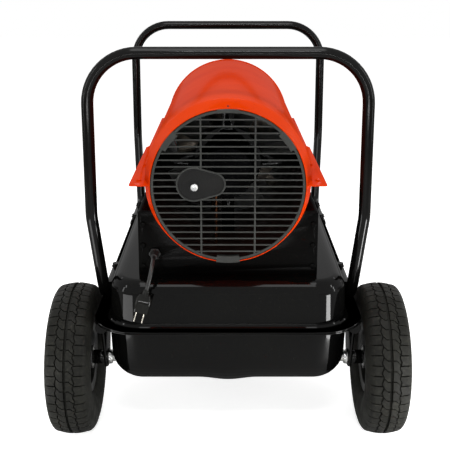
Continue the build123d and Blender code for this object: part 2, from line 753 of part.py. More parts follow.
with BuildPart() as combustion_chamber:
    with BuildSketch(along_barrel):
        with BuildLine():
            Polyline(
                (throat_r, chamber_rear), (chamber_r, chamber_rear), (chamber_r, chamber_front),
                (82, chamber_front + 14), (80.5, chamber_front + 13), (chamber_r - sheet, chamber_front - 1),
                (chamber_r - sheet, chamber_rear + sheet), (throat_r, chamber_rear + sheet), close=True,
            )
        make_face()
    revolve(axis=barrel_axis)
    # slots that swirl the air round the flame
    with BuildSketch(across(chamber_rear - 5)):
        with PolarLocations(64, 10, start_angle=18):
            SlotOverall(26, 6)
    extrude(amount=10, mode=Mode.SUBTRACT)
combustion_chamber.part.label = "combustion_chamber"
export_step(combustion_chamber.part, "parts/combustion_chamber.step")

with BuildPart() as chamber_brackets:
    with BuildSketch(across(axle_y + 290), across(axle_y + 500)):
        for turn in (45, 135):
            Rectangle(2 * barrel_r, 18, rotation=turn)
        Circle(slip_r, mode=Mode.INTERSECT)
        Circle(chamber_r, mode=Mode.SUBTRACT)
    extrude(amount=2.5)
chamber_brackets.part.label = "chamber_brackets"
export_step(chamber_brackets.part, "parts/chamber_brackets.step")

nozzle_r = 14.0
nozzle_flat = nozzle_r * math.cos(math.pi / 6)
nozzle_y = pickup[1]
head_t = 4.0
igniter_at = at(0, 21)
electrode_r = 1.5

with BuildPart() as burner_head:
    with BuildSketch(across(chamber_rear - head_t)):
        Circle(34)
        with Locations(igniter_at):
            Circle(electrode_r + 1, mode=Mode.SUBTRACT)
    extrude(amount=head_t)
    with BuildSketch(across(nozzle_y - 10)):
        RegularPolygon(nozzle_r, 6, rotation=30)
    extrude(amount=chamber_rear - head_t - nozzle_y + 10)
    with BuildSketch(across(chamber_rear)):
        Circle(10)
    extrude(amount=15, taper=14)
burner_head.part.label = "burner_head"
export_step(burner_head.part, "parts/burner_head.step")

with BuildPart() as igniter:
    # ceramic body with its electrode, which reaches past the nozzle
    for start, end, part_r in (
        (chamber_rear - head_t - 30, chamber_rear - head_t, 6.0),
        (chamber_rear - head_t, chamber_rear + 18, electrode_r),
    ):
        with BuildSketch(across(start)):
            with Locations(igniter_at):
                Circle(part_r)
        extrude(amount=end - start)
igniter.part.label = "igniter"
export_step(igniter.part, "parts/igniter.step")

with BuildPart() as photocell:
    with BuildSketch(across(chamber_rear - 26)):
        with Locations(at(46, 0)):
            Circle(8.5)
    extrude(amount=26)
photocell.part.label = "photocell"
export_step(photocell.part, "parts/photocell.step")

with BuildPart() as fuel_line:
    with BuildLine() as fuel_path:
        FilletPolyline(
            (*pickup, pickup_top_z), (*pickup, barrel_z), (nozzle_flat, nozzle_y, barrel_z), radius=12,
        )
    with BuildSketch(Plane(origin=(*pickup, pickup_top_z))):
        Circle(line_r)
    sweep(path=fuel_path.line)
fuel_line.part.label = "fuel_line"
export_step(fuel_line.part, "parts/fuel_line.step")

with BuildPart() as air_line:
    # from the pump down into the base, along it, and up behind the fan to the nozzle
    run_z = tank_top_z + 14
    port_z = barrel_z - pump_r - 4
    with BuildLine() as air_path:
        FilletPolyline(
            (*air_port, port_z), (*air_port, run_z), (air_line_x, nozzle_y, run_z),
            (air_line_x, nozzle_y, barrel_z), (-nozzle_flat, nozzle_y, barrel_z), radius=12,
        )
    with BuildSketch(Plane(origin=(*air_port, port_z), z_dir=(0, 0, -1))):
        Circle(line_r)
    sweep(path=air_path.line)
air_line.part.label = "air_line"
export_step(air_line.part, "parts/air_line.step")

# ---- base: a folded housing under the barrel, with the controls in it ------------------------------------
base_mid = (base_rear + base_front) / 2
base_len = base_front - base_rear
control_at = (axle_y + 350, 352.0)      # along the heater, and its height
window_len, window_h = 118.0, 60.0
wall_in = base_half - sheet
return_w = 14.0
panel_t = 2.0
panel_screw_places = [(side * 140.5, z) for side in (-1, 1) for z in (314, 350, 386)]

with BuildPart() as base_housing:
    with BuildSketch(Plane(origin=(0, base_mid, tank_top_z))):
        Rectangle(2 * base_half, base_len)
    extrude(amount=base_top_z - tank_top_z)
    fillet(base_housing.edges().filter_by(Axis.Y).group_by(Axis.Z)[-1], 5)
    fillet(base_housing.edges().filter_by(Axis.Z).group_by(Axis.Y)[-1], 5)
    # open below and behind
    with BuildSketch(Plane(origin=(0, base_mid - sheet, tank_top_z))):
        Rectangle(2 * wall_in, base_len)
    extrude(amount=base_top_z - tank_top_z - sheet, mode=Mode.SUBTRACT)
    # flanges folded inwards: two lie on the tank, two carry the rear panel
    for side in (-1, 1):
        with BuildSketch(Plane(origin=(side * (wall_in - return_w / 2), base_mid, tank_top_z))):
            Rectangle(return_w, base_len - 2 * sheet)
        extrude(amount=sheet)
        with BuildSketch(Plane(origin=(side * (wall_in - return_w / 2), base_rear + 1.5 * sheet, tank_top_z))):
            Rectangle(return_w, sheet)
        extrude(amount=base_top_z - tank_top_z - sheet)
    # the rear panel's thickness is left free
    with BuildSketch(Plane(origin=(0, base_rear, tank_top_z))):
        Rectangle(2 * base_half, 2 * sheet)
    extrude(amount=base_top_z - tank_top_z, mode=Mode.SUBTRACT)
    with BuildSketch(across(base_rear)):
        Circle(barrel_r)
    extrude(amount=base_len, mode=Mode.SUBTRACT)
    with BuildSketch(Plane(origin=(wall_in, *control_at), x_dir=(0, 1, 0), z_dir=(1, 0, 0))):
        Rectangle(window_len, window_h)
    extrude(amount=sheet, mode=Mode.SUBTRACT)
    with BuildSketch(across(base_rear)):
        with Locations(*[at(x, z - barrel_z) for x, z in panel_screw_places]):
            Circle(2.1)
    extrude(amount=6, mode=Mode.SUBTRACT)
base_housing.part.label = "base_housing"
export_step(base_housing.part, "parts/base_housing.step")

relief_at = (-121.0, 336.0)
relief_hole_r = 6.0
with BuildPart() as rear_panel:
    with BuildSketch(across(base_rear)):
        with Locations(at(0, (tank_top_z + base_top_z) / 2 - barrel_z)):
            Rectangle(2 * base_half, base_top_z - tank_top_z)
        fillet(vertices().group_by(Axis.Y)[0], 5)
        Circle(barrel_r, mode=Mode.SUBTRACT)
        with Locations(*[at(x, z - barrel_z) for x, z in panel_screw_places]):
            Circle(2.1, mode=Mode.SUBTRACT)
        with Locations(at(relief_at[0], relief_at[1] - barrel_z)):
            Circle(relief_hole_r, mode=Mode.SUBTRACT)
    extrude(amount=sheet)
rear_panel.part.label = "rear_panel"
export_step(rear_panel.part, "parts/rear_panel.step")

with BuildPart() as panel_screws:
    for start, end, part_r in ((base_rear - 2.4, base_rear, 4.4), (base_rear, base_rear + 7, 2.0)):
        with BuildSketch(across(start)):
            with Locations(*[at(x, z - barrel_z) for x, z in panel_screw_places]):
                Circle(part_r)
        extrude(amount=end - start)
panel_screws.part.label = "panel_screws"
export_step(panel_screws.part, "parts/panel_screws.step")

# on the control panel's own plane, x runs along the heater and y upwards
panel_plane = Plane(origin=(base_half, *control_at), x_dir=(0, 1, 0), z_dir=(1, 0, 0))
switch_at, knob_at, lamp_at = (-36.0, 0.0), (22.0, 0.0), (-8.0, 22.0)
rocker_half_w, rocker_half_h, rocker_tilt = 7.0, 10.6, 10.0
cavity_half_w, cavity_half_h = 7.4, 12.4
bezel_wall = 3.0
pivot_r = 1.5
pivot_out = 3.0                         # pivot's place outside the panel's inner face
bush_r = 6.0
knob_shaft_r = 3.0
lamp_r = 5.0

with BuildPart() as control_panel:
    with BuildSketch(panel_plane):
        RectangleRounded(window_len + 22, window_h + 20, 4)
        with Locations(switch_at):
            Rectangle(2 * (cavity_half_w + bezel_wall), 2 * (cavity_half_h + bezel_wall), mode=Mode.SUBTRACT)
        with Locations(knob_at):
            Circle(bush_r, mode=Mode.SUBTRACT)
        with Locations(lamp_at):
            Circle(lamp_r, mode=Mode.SUBTRACT)
    extrude(amount=panel_t)
control_panel.part.label = "control_panel"
export_step(control_panel.part, "parts/control_panel.step")

with BuildPart() as switch_bezel:
    with BuildSketch(panel_plane.offset(panel_t)):
        with Locations(switch_at):
            RectangleRounded(2 * (cavity_half_w + 6), 2 * (cavity_half_h + 6), 2)
    extrude(amount=2)
    with BuildSketch(panel_plane.offset(-14)):
        with Locations(switch_at):
            Rectangle(2 * (cavity_half_w + bezel_wall), 2 * (cavity_half_h + bezel_wall))
    extrude(amount=14 + panel_t)
    with BuildSketch(panel_plane.offset(-10)):
        with Locations(switch_at):
            Rectangle(2 * cavity_half_w, 2 * cavity_half_h)
    extrude(amount=20, mode=Mode.SUBTRACT)
    pivot_x, pivot_y = base_half - pivot_out, control_at[0] + switch_at[0]
    pivot_z = control_at[1] + switch_at[1]
    with Locations(Location((pivot_x, pivot_y, pivot_z), (90, 0, 0))):
        Cylinder(pivot_r + running_gap, 2 * (cavity_half_w + 2), mode=Mode.SUBTRACT)
switch_bezel.part.label = "switch_bezel"
export_step(switch_bezel.part, "parts/switch_bezel.step")

with BuildPart() as power_switch:
    # rocker, at rest in its off position; its profile's x points out of the panel
    tilt = math.radians(rocker_tilt)
    rocker_plane = Plane(
        origin=(pivot_x, pivot_y, pivot_z), x_dir=(math.cos(tilt), 0, math.sin(tilt)), z_dir=(0, 1, 0)
    )
    with BuildSketch(rocker_plane):
        with BuildLine():
            Polyline(
                (8, 0), (10.4, rocker_half_h - 0.6), (9.6, rocker_half_h), (-3, rocker_half_h - 3),
                (-3, 3 - rocker_half_h), (9.6, -rocker_half_h), (10.4, 0.6 - rocker_half_h), close=True,
            )
        make_face()
    extrude(amount=rocker_half_w, both=True)
    with BuildSketch(rocker_plane):
        Circle(pivot_r)
    extrude(amount=cavity_half_w + 1.6, both=True)
power_switch.part.label = "power_switch"
export_step(power_switch.part, "parts/power_switch.step")

with BuildPart() as thermostat_body:
    with BuildSketch(panel_plane.offset(-22)):
        with Locations(knob_at):
            RectangleRounded(26, 26, 3)
    extrude(amount=20)
    for start, end, part_r in ((-2, panel_t, bush_r), (panel_t, panel_t + 2.2, bush_r + 3)):
        with BuildSketch(panel_plane.offset(start)):
            with Locations(knob_at):
                Circle(part_r)
        extrude(amount=end - start)
    with BuildSketch(panel_plane.offset(-16)):
        with Locations(knob_at):
            Circle(knob_shaft_r + running_gap)
    extrude(amount=30, mode=Mode.SUBTRACT)
thermostat_body.part.label = "thermostat_body"
export_step(thermostat_body.part, "parts/thermostat_body.step")

with BuildPart() as thermostat_knob:
    knob_start, knob_h = panel_t + 2.6, 14.0
    with BuildSketch(panel_plane.offset(knob_start)):
        with Locations(knob_at):
            Circle(17)
    extrude(amount=3)
    with BuildSketch(panel_plane.offset(knob_start + 3)):
        with Locations(knob_at):
            Circle(14)
            with PolarLocations(15.2, 14):
                Circle(2, mode=Mode.SUBTRACT)
    extrude(amount=knob_h - 3, taper=3)
    with BuildSketch(panel_plane.offset(knob_start + knob_h)):
        with Locations((knob_at[0], knob_at[1] + 8)):
            Rectangle(1.6, 8)
    extrude(amount=-0.8, mode=Mode.SUBTRACT)
    with BuildSketch(panel_plane.offset(knob_start)):
        with Locations(knob_at):
            Circle(knob_shaft_r)
    extrude(amount=-knob_start - 13)
thermostat_knob.part.label = "thermostat_knob"
export_step(thermostat_knob.part, "parts/thermostat_knob.step")

with BuildPart() as pilot_lamp:
    for start, end, part_r in ((-12, panel_t, lamp_r), (panel_t, panel_t + 3, lamp_r + 1.5)):
        with BuildSketch(panel_plane.offset(start)):
            with Locations(lamp_at):
                Circle(part_r)
        extrude(amount=end - start)
    fillet(pilot_lamp.faces().sort_by(Axis.X)[-1].edges(), 2.5)
pilot_lamp.part.label = "pilot_lamp"
export_step(pilot_lamp.part, "parts/pilot_lamp.step")

with BuildPart() as ignition_transformer:
    # potted block on two feet, with a turret for each high voltage lead
    box_at = (-96.0, axle_y + 300)
    with BuildSketch(Plane(origin=(*box_at, tank_top_z))):
        Rectangle(52, 84)
    extrude(amount=2)
    with BuildSketch(Plane(origin=(*box_at, tank_top_z + 2))):
        Rectangle(50, 62)
    extrude(amount=40)
    fillet(ignition_transformer.edges().filter_by(Axis.Z).group_by(SortBy.LENGTH)[-1], 4)
    with BuildSketch(Plane(origin=(box_at[0] - 12, box_at[1], tank_top_z + 42))):
        with GridLocations(0, 30, 1, 2):
            Circle(6)
    extrude(amount=12, taper=8)
ignition_transformer.part.label = "ignition_transformer"
export_step(ignition_transformer.part, "parts/ignition_transformer.step")

with BuildPart() as control_board:
    # circuit board on four studs inside the housing's wall, with its relay and capacitor
    board_at = (axle_y + 230, 352.0)
    board_plane = Plane(origin=(wall_in, *board_at), x_dir=(0, 1, 0), z_dir=(-1, 0, 0))
    with BuildSketch(board_plane):
        with GridLocations(72, 48, 2, 2):
            Circle(3)
    extrude(amount=8)
    with BuildSketch(board_plane.offset(8)):
        Rectangle(84, 60)
    extrude(amount=1.6)
    with BuildSketch(board_plane.offset(9.6)):
        with Locations((-16, 0)):
            Rectangle(20, 26)
    extrude(amount=14)
    with BuildSketch(board_plane.offset(9.6)):
        with Locations((18, 8)):
            Circle(8)
    extrude(amount=12)
control_board.part.label = "control_board"
export_step(control_board.part, "parts/control_board.step")

# ---- mains lead: strain relief, cord and plug ---------------------------------------------------------------
cord_r = 3.25
relief_len = 20.0

with BuildPart() as strain_relief:
    relief_plane = Plane(
        origin=(relief_at[0], base_rear, relief_at[1]), x_dir=(1, 0, 0), z_dir=(0, -1, 0)
    )
    with BuildSketch(relief_plane):
        RegularPolygon(10, 6)
    extrude(amount=4)
    with BuildSketch(relief_plane.offset(4)):
        Circle(8)
    extrude(amount=relief_len - 4, taper=11)
    with BuildSketch(relief_plane.offset(-sheet)):
        Circle(relief_hole_r)
    extrude(amount=sheet)
    with BuildSketch(relief_plane.offset(-sheet - 4)):
        RegularPolygon(9, 6)
    extrude(amount=4)
strain_relief.part.label = "strain_relief"
export_step(strain_relief.part, "parts/strain_relief.step")

cord_exit = (relief_at[0], base_rear - relief_len, relief_at[1])
# each step of the route as (x, y, z), counted from the exit
cord_steps = [
    (0, 0, 0), (0, -12.5, 0), (-0.8, -25, -5.6), (-2.4, -34.6, -15.4), (-5.2, -39.6, -27.6),
    (-9, -40.6, -40.9),
]
cord_route = [tuple(start + step for start, step in zip(cord_exit, steps)) for steps in cord_steps]
corner_radii = []
for before, corner, after in zip(cord_route, cord_route[1:], cord_route[2:]):
    way_in, way_out = Vector(corner) - Vector(before), Vector(after) - Vector(corner)
    half_turn = math.radians(way_in.get_angle(way_out)) / 2
    corner_radii.append(0.45 * min(way_in.length, way_out.length) / math.tan(half_turn))

with BuildPart() as power_cord:
    with BuildLine() as cord_path:
        FilletPolyline(*cord_route, radius=corner_radii)
    with BuildSketch(Plane(origin=cord_exit, z_dir=(0, -1, 0))):
        Circle(cord_r)
    sweep(path=cord_path.line)
power_cord.part.label = "power_cord"
export_step(power_cord.part, "parts/power_cord.step")
cord_length = sum(edge.length for edge in cord_path.line.edges())
print("cord radii", [round(radius, 1) for radius in corner_radii])
print("cord length", round(cord_length, 1), "volume", round(power_cord.part.volume))
print("cord section times length", round(math.pi * cord_r**2 * cord_length))

plug_way = (Vector(cord_route[-1]) - Vector(cord_route[-2])).normalized()
plug_plane = Plane(origin=cord_route[-1], x_dir=Vector(0, 1, 0).cross(plug_way), z_dir=plug_way)
collar_len, body_h = 8.0, 30.0

with BuildPart() as mains_plug:
    with BuildSketch(plug_plane):
        Circle(4.6)
    extrude(amount=collar_len, taper=-8)
    with BuildSketch(plug_plane.offset(collar_len)):
        RectangleRounded(17, 11, 4)
    with BuildSketch(plug_plane.offset(collar_len + 8)):
        RectangleRounded(25, 16, 5)
    loft()
    with BuildSketch(plug_plane.offset(collar_len + 8)):
        RectangleRounded(25, 16, 5)
    extrude(amount=body_h - 8)
mains_plug.part.label = "mains_plug"
export_step(mains_plug.part, "parts/mains_plug.step")

with BuildPart() as plug_blades:
    with BuildSketch(plug_plane.offset(collar_len + body_h)):
        with GridLocations(12.7, 0, 2, 1):
            Rectangle(1.6, 6.3)
    extrude(amount=17)
plug_blades.part.label = "plug_blades"
export_step(plug_blades.part, "parts/plug_blades.step")
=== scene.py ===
import json
import math
import bpy
import bmesh
from mathutils import Matrix, Vector


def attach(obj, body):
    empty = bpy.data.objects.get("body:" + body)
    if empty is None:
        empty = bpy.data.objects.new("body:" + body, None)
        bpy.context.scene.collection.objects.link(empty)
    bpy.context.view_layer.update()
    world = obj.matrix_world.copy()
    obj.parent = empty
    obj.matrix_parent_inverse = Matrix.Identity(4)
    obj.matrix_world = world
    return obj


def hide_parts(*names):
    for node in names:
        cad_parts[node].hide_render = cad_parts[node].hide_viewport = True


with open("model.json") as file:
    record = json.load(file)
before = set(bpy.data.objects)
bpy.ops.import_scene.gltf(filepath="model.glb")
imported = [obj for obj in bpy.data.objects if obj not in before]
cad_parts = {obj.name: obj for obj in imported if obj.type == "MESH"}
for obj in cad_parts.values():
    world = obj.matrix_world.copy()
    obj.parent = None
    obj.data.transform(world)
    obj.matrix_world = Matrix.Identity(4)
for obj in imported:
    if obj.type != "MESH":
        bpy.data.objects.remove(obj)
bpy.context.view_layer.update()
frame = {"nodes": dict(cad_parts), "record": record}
nodes = frame["nodes"]
mm = 0.001

# places shared by several pieces, in millimetres
axleY, axleZ = -308.5, 130.0
barrelZ = 465.0
seamZ, tankBottom = 222.0, 117.0
lowerRearY, guardY = axleY - 70, axleY - 107
footZ, railZ = 234.5, 209.5
frontY, outletY = axleY + 530, axleY + 590


def at(x, y, z):
    return Vector((x * mm, y * mm, z * mm))


def addObject(name, data):
    made = bpy.data.objects.new(name, data)
    bpy.context.scene.collection.objects.link(made)
    return made


# camera and light
cameraFacts = {"place": (0.0, -1.6952, 0.7866), "pitch": 13.64, "lens": 68.16, "sensor": 36,
               "shiftX": -0.0067, "shiftY": -0.10}
camera = addObject("photoCamera", bpy.data.cameras.new("photoCamera"))
camera.location = cameraFacts["place"]
camera.rotation_euler = (math.radians(90 - cameraFacts["pitch"]), 0, 0)
camera.data.lens = cameraFacts["lens"]
camera.data.sensor_width = cameraFacts["sensor"]
camera.data.shift_x = cameraFacts["shiftX"]
camera.data.shift_y = cameraFacts["shiftY"]
bpy.context.scene.camera = camera
bpy.context.scene.view_settings.view_transform = "Standard"

softboxes = {
    "overhead": {"place": (0.0, -0.95, 2.1), "aim": (0, -0.6, 0.3), "size": (1.0, 1.5), "power": 22},
    "frontHigh": {"place": (0.1, -1.9, 1.75), "aim": (0, -0.3, 0.4), "size": (0.6, 0.05), "power": 7},
    "rearHigh": {"place": (0.0, 1.9, 1.7), "aim": (0, -0.4, 0.6), "size": (0.8, 0.2), "power": 3},
    "leftTall": {"place": (-1.9, -0.9, 0.9), "aim": (0, -0.2, 0.35), "size": (0.1, 1.5), "power": 7},
    "rightTall": {"place": (1.9, -0.7, 0.9), "aim": (0, -0.2, 0.35), "size": (0.1, 1.5), "power": 8},
    "leftRear": {"place": (-1.6, 1.4, 1.1), "aim": (0, 0.2, 0.35), "size": (0.25, 1.4), "power": 7},
    "rightRear": {"place": (1.6, 1.4, 1.1), "aim": (0, 0.2, 0.35), "size": (0.25, 1.4), "power": 7},
    "frontLow": {"place": (0.0, -2.4, 0.25), "aim": (0, -0.4, 0.25), "size": (1.2, 0.04), "power": 4.5},
    # low cards beside the picture, which the tank's upright corners mirror
    "leftCard": {"place": (-0.5, -0.62, 0.06), "aim": (-0.17, -0.4, 0.2), "size": (0.3, 0.2), "power": 1.4},
    "rightCard": {"place": (0.5, -0.62, 0.06), "aim": (0.17, -0.4, 0.2), "size": (0.12, 0.2), "power": 3.0},
}
for name, facts in softboxes.items():
    lamp = addObject(name, bpy.data.lights.new(name, "AREA"))
    lamp.data.shape = "RECTANGLE"
    lamp.data.size, lamp.data.size_y = facts["size"]
    lamp.data.energy = facts["power"]
    lamp.location = facts["place"]
    lamp.rotation_euler = (Vector(facts["aim"]) - lamp.location).to_track_quat("-Z", "Y").to_euler()


# materials
def hexColour(text):
    # sRGB hex to linear
    parts = [int(text[i:i + 2], 16) / 255 for i in (1, 3, 5)]
    return tuple(c / 12.92 if c <= 0.04045 else ((c + 0.055) / 1.055) ** 2.4 for c in parts) + (1.0,)


def addNode(tree, kind, settings, links=()):
    node = tree.nodes.new(kind)
    for name, value in settings.items():
        if isinstance(name, int) or name in node.inputs:
            node.inputs[name].default_value = value
        else:
            setattr(node, name, value)
    for name, output in links:
        tree.links.new(output, node.inputs[name])
    return node


def newFinish(name, shaderSettings):
    material = bpy.data.materials.new(name)
    material.use_nodes = True
    tree = material.node_tree
    shader = tree.nodes["Principled BSDF"]
    for socket, value in shaderSettings.items():
        shader.inputs[socket].default_value = value
    place = addNode(tree, "ShaderNodeTexCoord", {})
    return material, tree, shader, place.outputs["Object"]


def shadeColour(tree, shader, place, facts):
    # slow drift between the finish's two shades, then fine specks of dust or grain over it
    first, second, driftScale = facts["shades"]
    speckColour, speckScale, speckFrom, speckShare = facts["speck"]
    drift = addNode(tree, "ShaderNodeTexNoise", {"Scale": driftScale, "Detail": 4.0}, [("Vector", place)])
    ramp = addNode(tree, "ShaderNodeValToRGB", {}, [("Fac", drift.outputs[0])])
    for element, position, shade in zip(ramp.color_ramp.elements, (0.35, 0.68), (first, second)):
        element.position = position
        element.color = hexColour(shade)
    speck = addNode(tree, "ShaderNodeTexNoise", {"Scale": speckScale, "Detail": 2.0}, [("Vector", place)])
    share = addNode(tree, "ShaderNodeMapRange", {
        "From Min": speckFrom, "From Max": 0.78, "To Min": 0.0, "To Max": speckShare,
    }, [("Value", speck.outputs[0])])
    mixed = addNode(tree, "ShaderNodeMix", {"data_type": "RGBA", 7: hexColour(speckColour)}, [
        (0, share.outputs[0]), (6, ramp.outputs[0]),
    ])
    tree.links.new(mixed.outputs[2], shader.inputs["Base Color"])


def shadeGloss(tree, shader, place, facts):
    glossScale, roughLow, roughHigh = facts["gloss"]
    smear = addNode(tree, "ShaderNodeTexNoise", {"Scale": glossScale, "Detail": 3.0}, [("Vector", place)])
    gloss = addNode(tree, "ShaderNodeMapRange", {
        "From Min": 0.32, "From Max": 0.7, "To Min": roughLow, "To Max": roughHigh,
    }, [("Value", smear.outputs[0])])
    tree.links.new(gloss.outputs[0], shader.inputs["Roughness"])


def shadeRelief(tree, shader, place, facts):
    grainScale, strength, depth = facts["grain"]
    grain = addNode(tree, "ShaderNodeTexNoise", {"Scale": grainScale, "Detail": 2.0}, [("Vector", place)])
    relief = addNode(tree, "ShaderNodeBump", {"Strength": strength, "Distance": depth * mm}, [
        ("Height", grain.outputs[0]),
    ])
    tree.links.new(relief.outputs[0], shader.inputs["Normal"])


def finish(name, shaderSettings, facts, stretch=None):
    material, tree, shader, place = newFinish(name, shaderSettings)
    if stretch:
        place = addNode(tree, "ShaderNodeMapping", {"Scale": stretch}, [("Vector", place)]).outputs[0]
    shadeColour(tree, shader, place, facts)
    shadeGloss(tree, shader, place, facts)
    shadeRelief(tree, shader, place, facts)
    return material


# noise scales are cycles per metre: 1000 is a 1 mm grain
# shades are two colours and the scale they drift at, speck is a colour, scale, threshold and share
# gloss is a scale and the least and most roughness, grain a scale, strength and depth in millimetres
finishes = {}
# stove enamel sprayed on sheet steel: deep gloss with a 2 mm orange peel
finishes["barrel_enamel"] = finish("stoveEnamelOrange", {
    "IOR": 1.4, "Specular IOR Level": 0.0, "Coat Weight": 0.07, "Coat IOR": 1.5, "Coat Roughness": 0.1,
}, {
    "shades": ("#c83204", "#d23a06", 7), "speck": ("#8a2606", 240, 0.62, 0.25),
    "gloss": (26, 0.22, 0.36), "grain": (520, 0.05, 0.2),
})
# powder coat on pressed steel: glossy black with a slight peel and a film of dust
finishes["black_enamel"] = finish("powderCoatBlack", {
    "IOR": 1.4, "Specular IOR Level": 0.0, "Coat Weight": 0.24, "Coat IOR": 1.5, "Coat Roughness": 0.06,
}, {
    "shades": ("#050505", "#080807", 8), "speck": ("#1c1c18", 330, 0.6, 0.3),
    "gloss": (20, 0.2, 0.35), "grain": (380, 0.05, 0.2),
})
# the same powder on the flat covers, rubbed to a satin by handling
finishes["cover_enamel"] = finish("powderCoatSatin", {
    "IOR": 1.4, "Specular IOR Level": 0.0, "Coat Weight": 0.07, "Coat IOR": 1.5, "Coat Roughness": 0.2,
}, {
    "shades": ("#060606", "#090908", 8), "speck": ("#1f1f1b", 330, 0.6, 0.3),
    "gloss": (20, 0.3, 0.45), "grain": (420, 0.08, 0.25),
})
# powder coat on bent tube: black with a soft long highlight and little dust
finishes["tube_enamel"] = finish("powderCoatTube", {
    "IOR": 1.4, "Specular IOR Level": 0.0, "Coat Weight": 0.3, "Coat IOR": 1.5, "Coat Roughness": 0.12,
}, {
    "shades": ("#060606", "#0a0a09", 14), "speck": ("#22221e", 420, 0.6, 0.3),
    "gloss": (34, 0.2, 0.35), "grain": (520, 0.06, 0.2),
})
# powder coat on the pressed rims: dull black, scuffed and dusty
finishes["rim_enamel"] = finish("powderCoatRim", {"IOR": 1.5}, {
    "shades": ("#111111", "#1a1a18", 20), "speck": ("#46443c", 300, 0.56, 0.45),
    "gloss": (40, 0.28, 0.45), "grain": (500, 0.12, 0.3),
})
# dark grey dip coating on the moulded grille: half matt, fine grain
finishes["guard_coat"] = finish("dipCoatGrey", {"IOR": 1.48, "Specular IOR Level": 0.3}, {
    "shades": ("#262725", "#31322f", 24), "speck": ("#4a4a45", 500, 0.55, 0.4),
    "gloss": (60, 0.38, 0.55), "grain": (900, 0.2, 0.15),
})
# injection moulded ABS with a spark-eroded texture
finishes["plate_plastic"] = finish("mouldedAbsBlack", {"IOR": 1.5, "Specular IOR Level": 0.15}, {
    "shades": ("#0e0e0e", "#151514", 30), "speck": ("#2c2c2a", 700, 0.55, 0.4),
    "gloss": (50, 0.42, 0.6), "grain": (1400, 0.25, 0.12),
})
# bright zinc plating: bluish silver with cloudy patches
finishes["zinc_steel"] = finish("zincPlatedSteel", {"Metallic": 1.0}, {
    "shades": ("#b9babb", "#d6d5d0", 60), "speck": ("#7d7b74", 420, 0.56, 0.5),
    "gloss": (120, 0.22, 0.42), "grain": (700, 0.12, 0.1),
})
# vulcanised tyre rubber: olive black, dusty in its texture
finishes["tyre_rubber"] = finish("vulcanisedTyreRubber", {"IOR": 1.5, "Specular IOR Level": 0.1}, {
    "shades": ("#131311", "#1c1c19", 22), "speck": ("#34332c", 260, 0.52, 0.55),
    "gloss": (50, 0.55, 0.78), "grain": (1100, 0.35, 0.2),
})
# PVC sheath of the mains lead: matt with faint flow marks
finishes["cord_rubber"] = finish("extrudedPvcSheath", {"IOR": 1.52, "Specular IOR Level": 0.4}, {
    "shades": ("#0f0f0f", "#191918", 80), "speck": ("#3a3935", 600, 0.55, 0.4),
    "gloss": (90, 0.4, 0.6), "grain": (1300, 0.2, 0.1),
})
# PVC moulded in a polished tool: near black with small sharp highlights
finishes["plug_rubber"] = finish("mouldedPvcPlug", {
    "IOR": 1.4, "Specular IOR Level": 0.0, "Coat Weight": 0.3, "Coat Roughness": 0.06,
}, {
    "shades": ("#0e0e0d", "#161614", 60), "speck": ("#2c2c29", 700, 0.55, 0.35),
    "gloss": (80, 0.28, 0.45), "grain": (1200, 0.15, 0.1),
})
# nickel plate on the plug's blades: warm white metal with hair lines
finishes["blade_metal"] = finish("nickelPlatedBrass", {"Metallic": 1.0}, {
    "shades": ("#d9d3c6", "#efe9dc", 120), "speck": ("#9c927f", 900, 0.58, 0.4),
    "gloss": (200, 0.14, 0.26), "grain": (900, 0.08, 0.08),
})
# enamel baked on the motor and pump: matt blue-black under dust
finishes["motor_enamel"] = finish("bakedEnamelMotor", {"IOR": 1.3, "Specular IOR Level": 0.0}, {
    "shades": ("#0b0b0c", "#121214", 30), "speck": ("#44443f", 400, 0.55, 0.4),
    "gloss": (50, 0.3, 0.5), "grain": (600, 0.15, 0.2),
})
# pressed and rolled sheet: fine rolling lines along the barrel
finishes["fan_aluminium"] = finish("rolledAluminiumSheet", {"Metallic": 1.0}, {
    "shades": ("#77787a", "#8e8e8c", 30), "speck": ("#55554f", 300, 0.56, 0.4),
    "gloss": (60, 0.5, 0.66), "grain": (700, 0.2, 0.08),
}, stretch=(1, 0.12, 1))
# stainless sheet browned and blued by the flame
finishes["stainless"] = finish("heatTintedStainless", {"Metallic": 1.0}, {
    "shades": ("#6b6259", "#8d857b", 16), "speck": ("#3c3a44", 110, 0.5, 0.6),
    "gloss": (50, 0.35, 0.6), "grain": (600, 0.15, 0.1),
})
# turned brass of the fittings: dull gold with brown in its grain
finishes["brass"] = finish("turnedBrass", {"Metallic": 1.0}, {
    "shades": ("#9a7a3c", "#b8934a", 80), "speck": ("#5c4a2a", 500, 0.56, 0.4),
    "gloss": (120, 0.25, 0.42), "grain": (900, 0.1, 0.08),
})
# glazed ceramic of the igniter: cream white with a clean shine
finishes["ceramic"] = finish("glazedCeramic", {"IOR": 1.55, "Coat Weight": 0.4}, {
    "shades": ("#ddd8cb", "#e9e5da", 60), "speck": ("#a89f8c", 500, 0.62, 0.4),
    "gloss": (80, 0.15, 0.28), "grain": (500, 0.06, 0.1),
})
# drawn copper tube browned by heat: dark with a faint red
finishes["copper_line"] = finish("drawnCopperTube", {"Metallic": 1.0}, {
    "shades": ("#5c3a28", "#754a31", 50), "speck": ("#3a281e", 300, 0.55, 0.5),
    "gloss": (90, 0.25, 0.45), "grain": (700, 0.1, 0.08),
})
# epoxy cast round the transformer: flat dark grey
finishes["resin"] = finish("castEpoxyResin", {"IOR": 1.55}, {
    "shades": ("#141414", "#1f1e1c", 50), "speck": ("#3b3934", 500, 0.55, 0.4),
    "gloss": (70, 0.35, 0.55), "grain": (900, 0.2, 0.15),
})
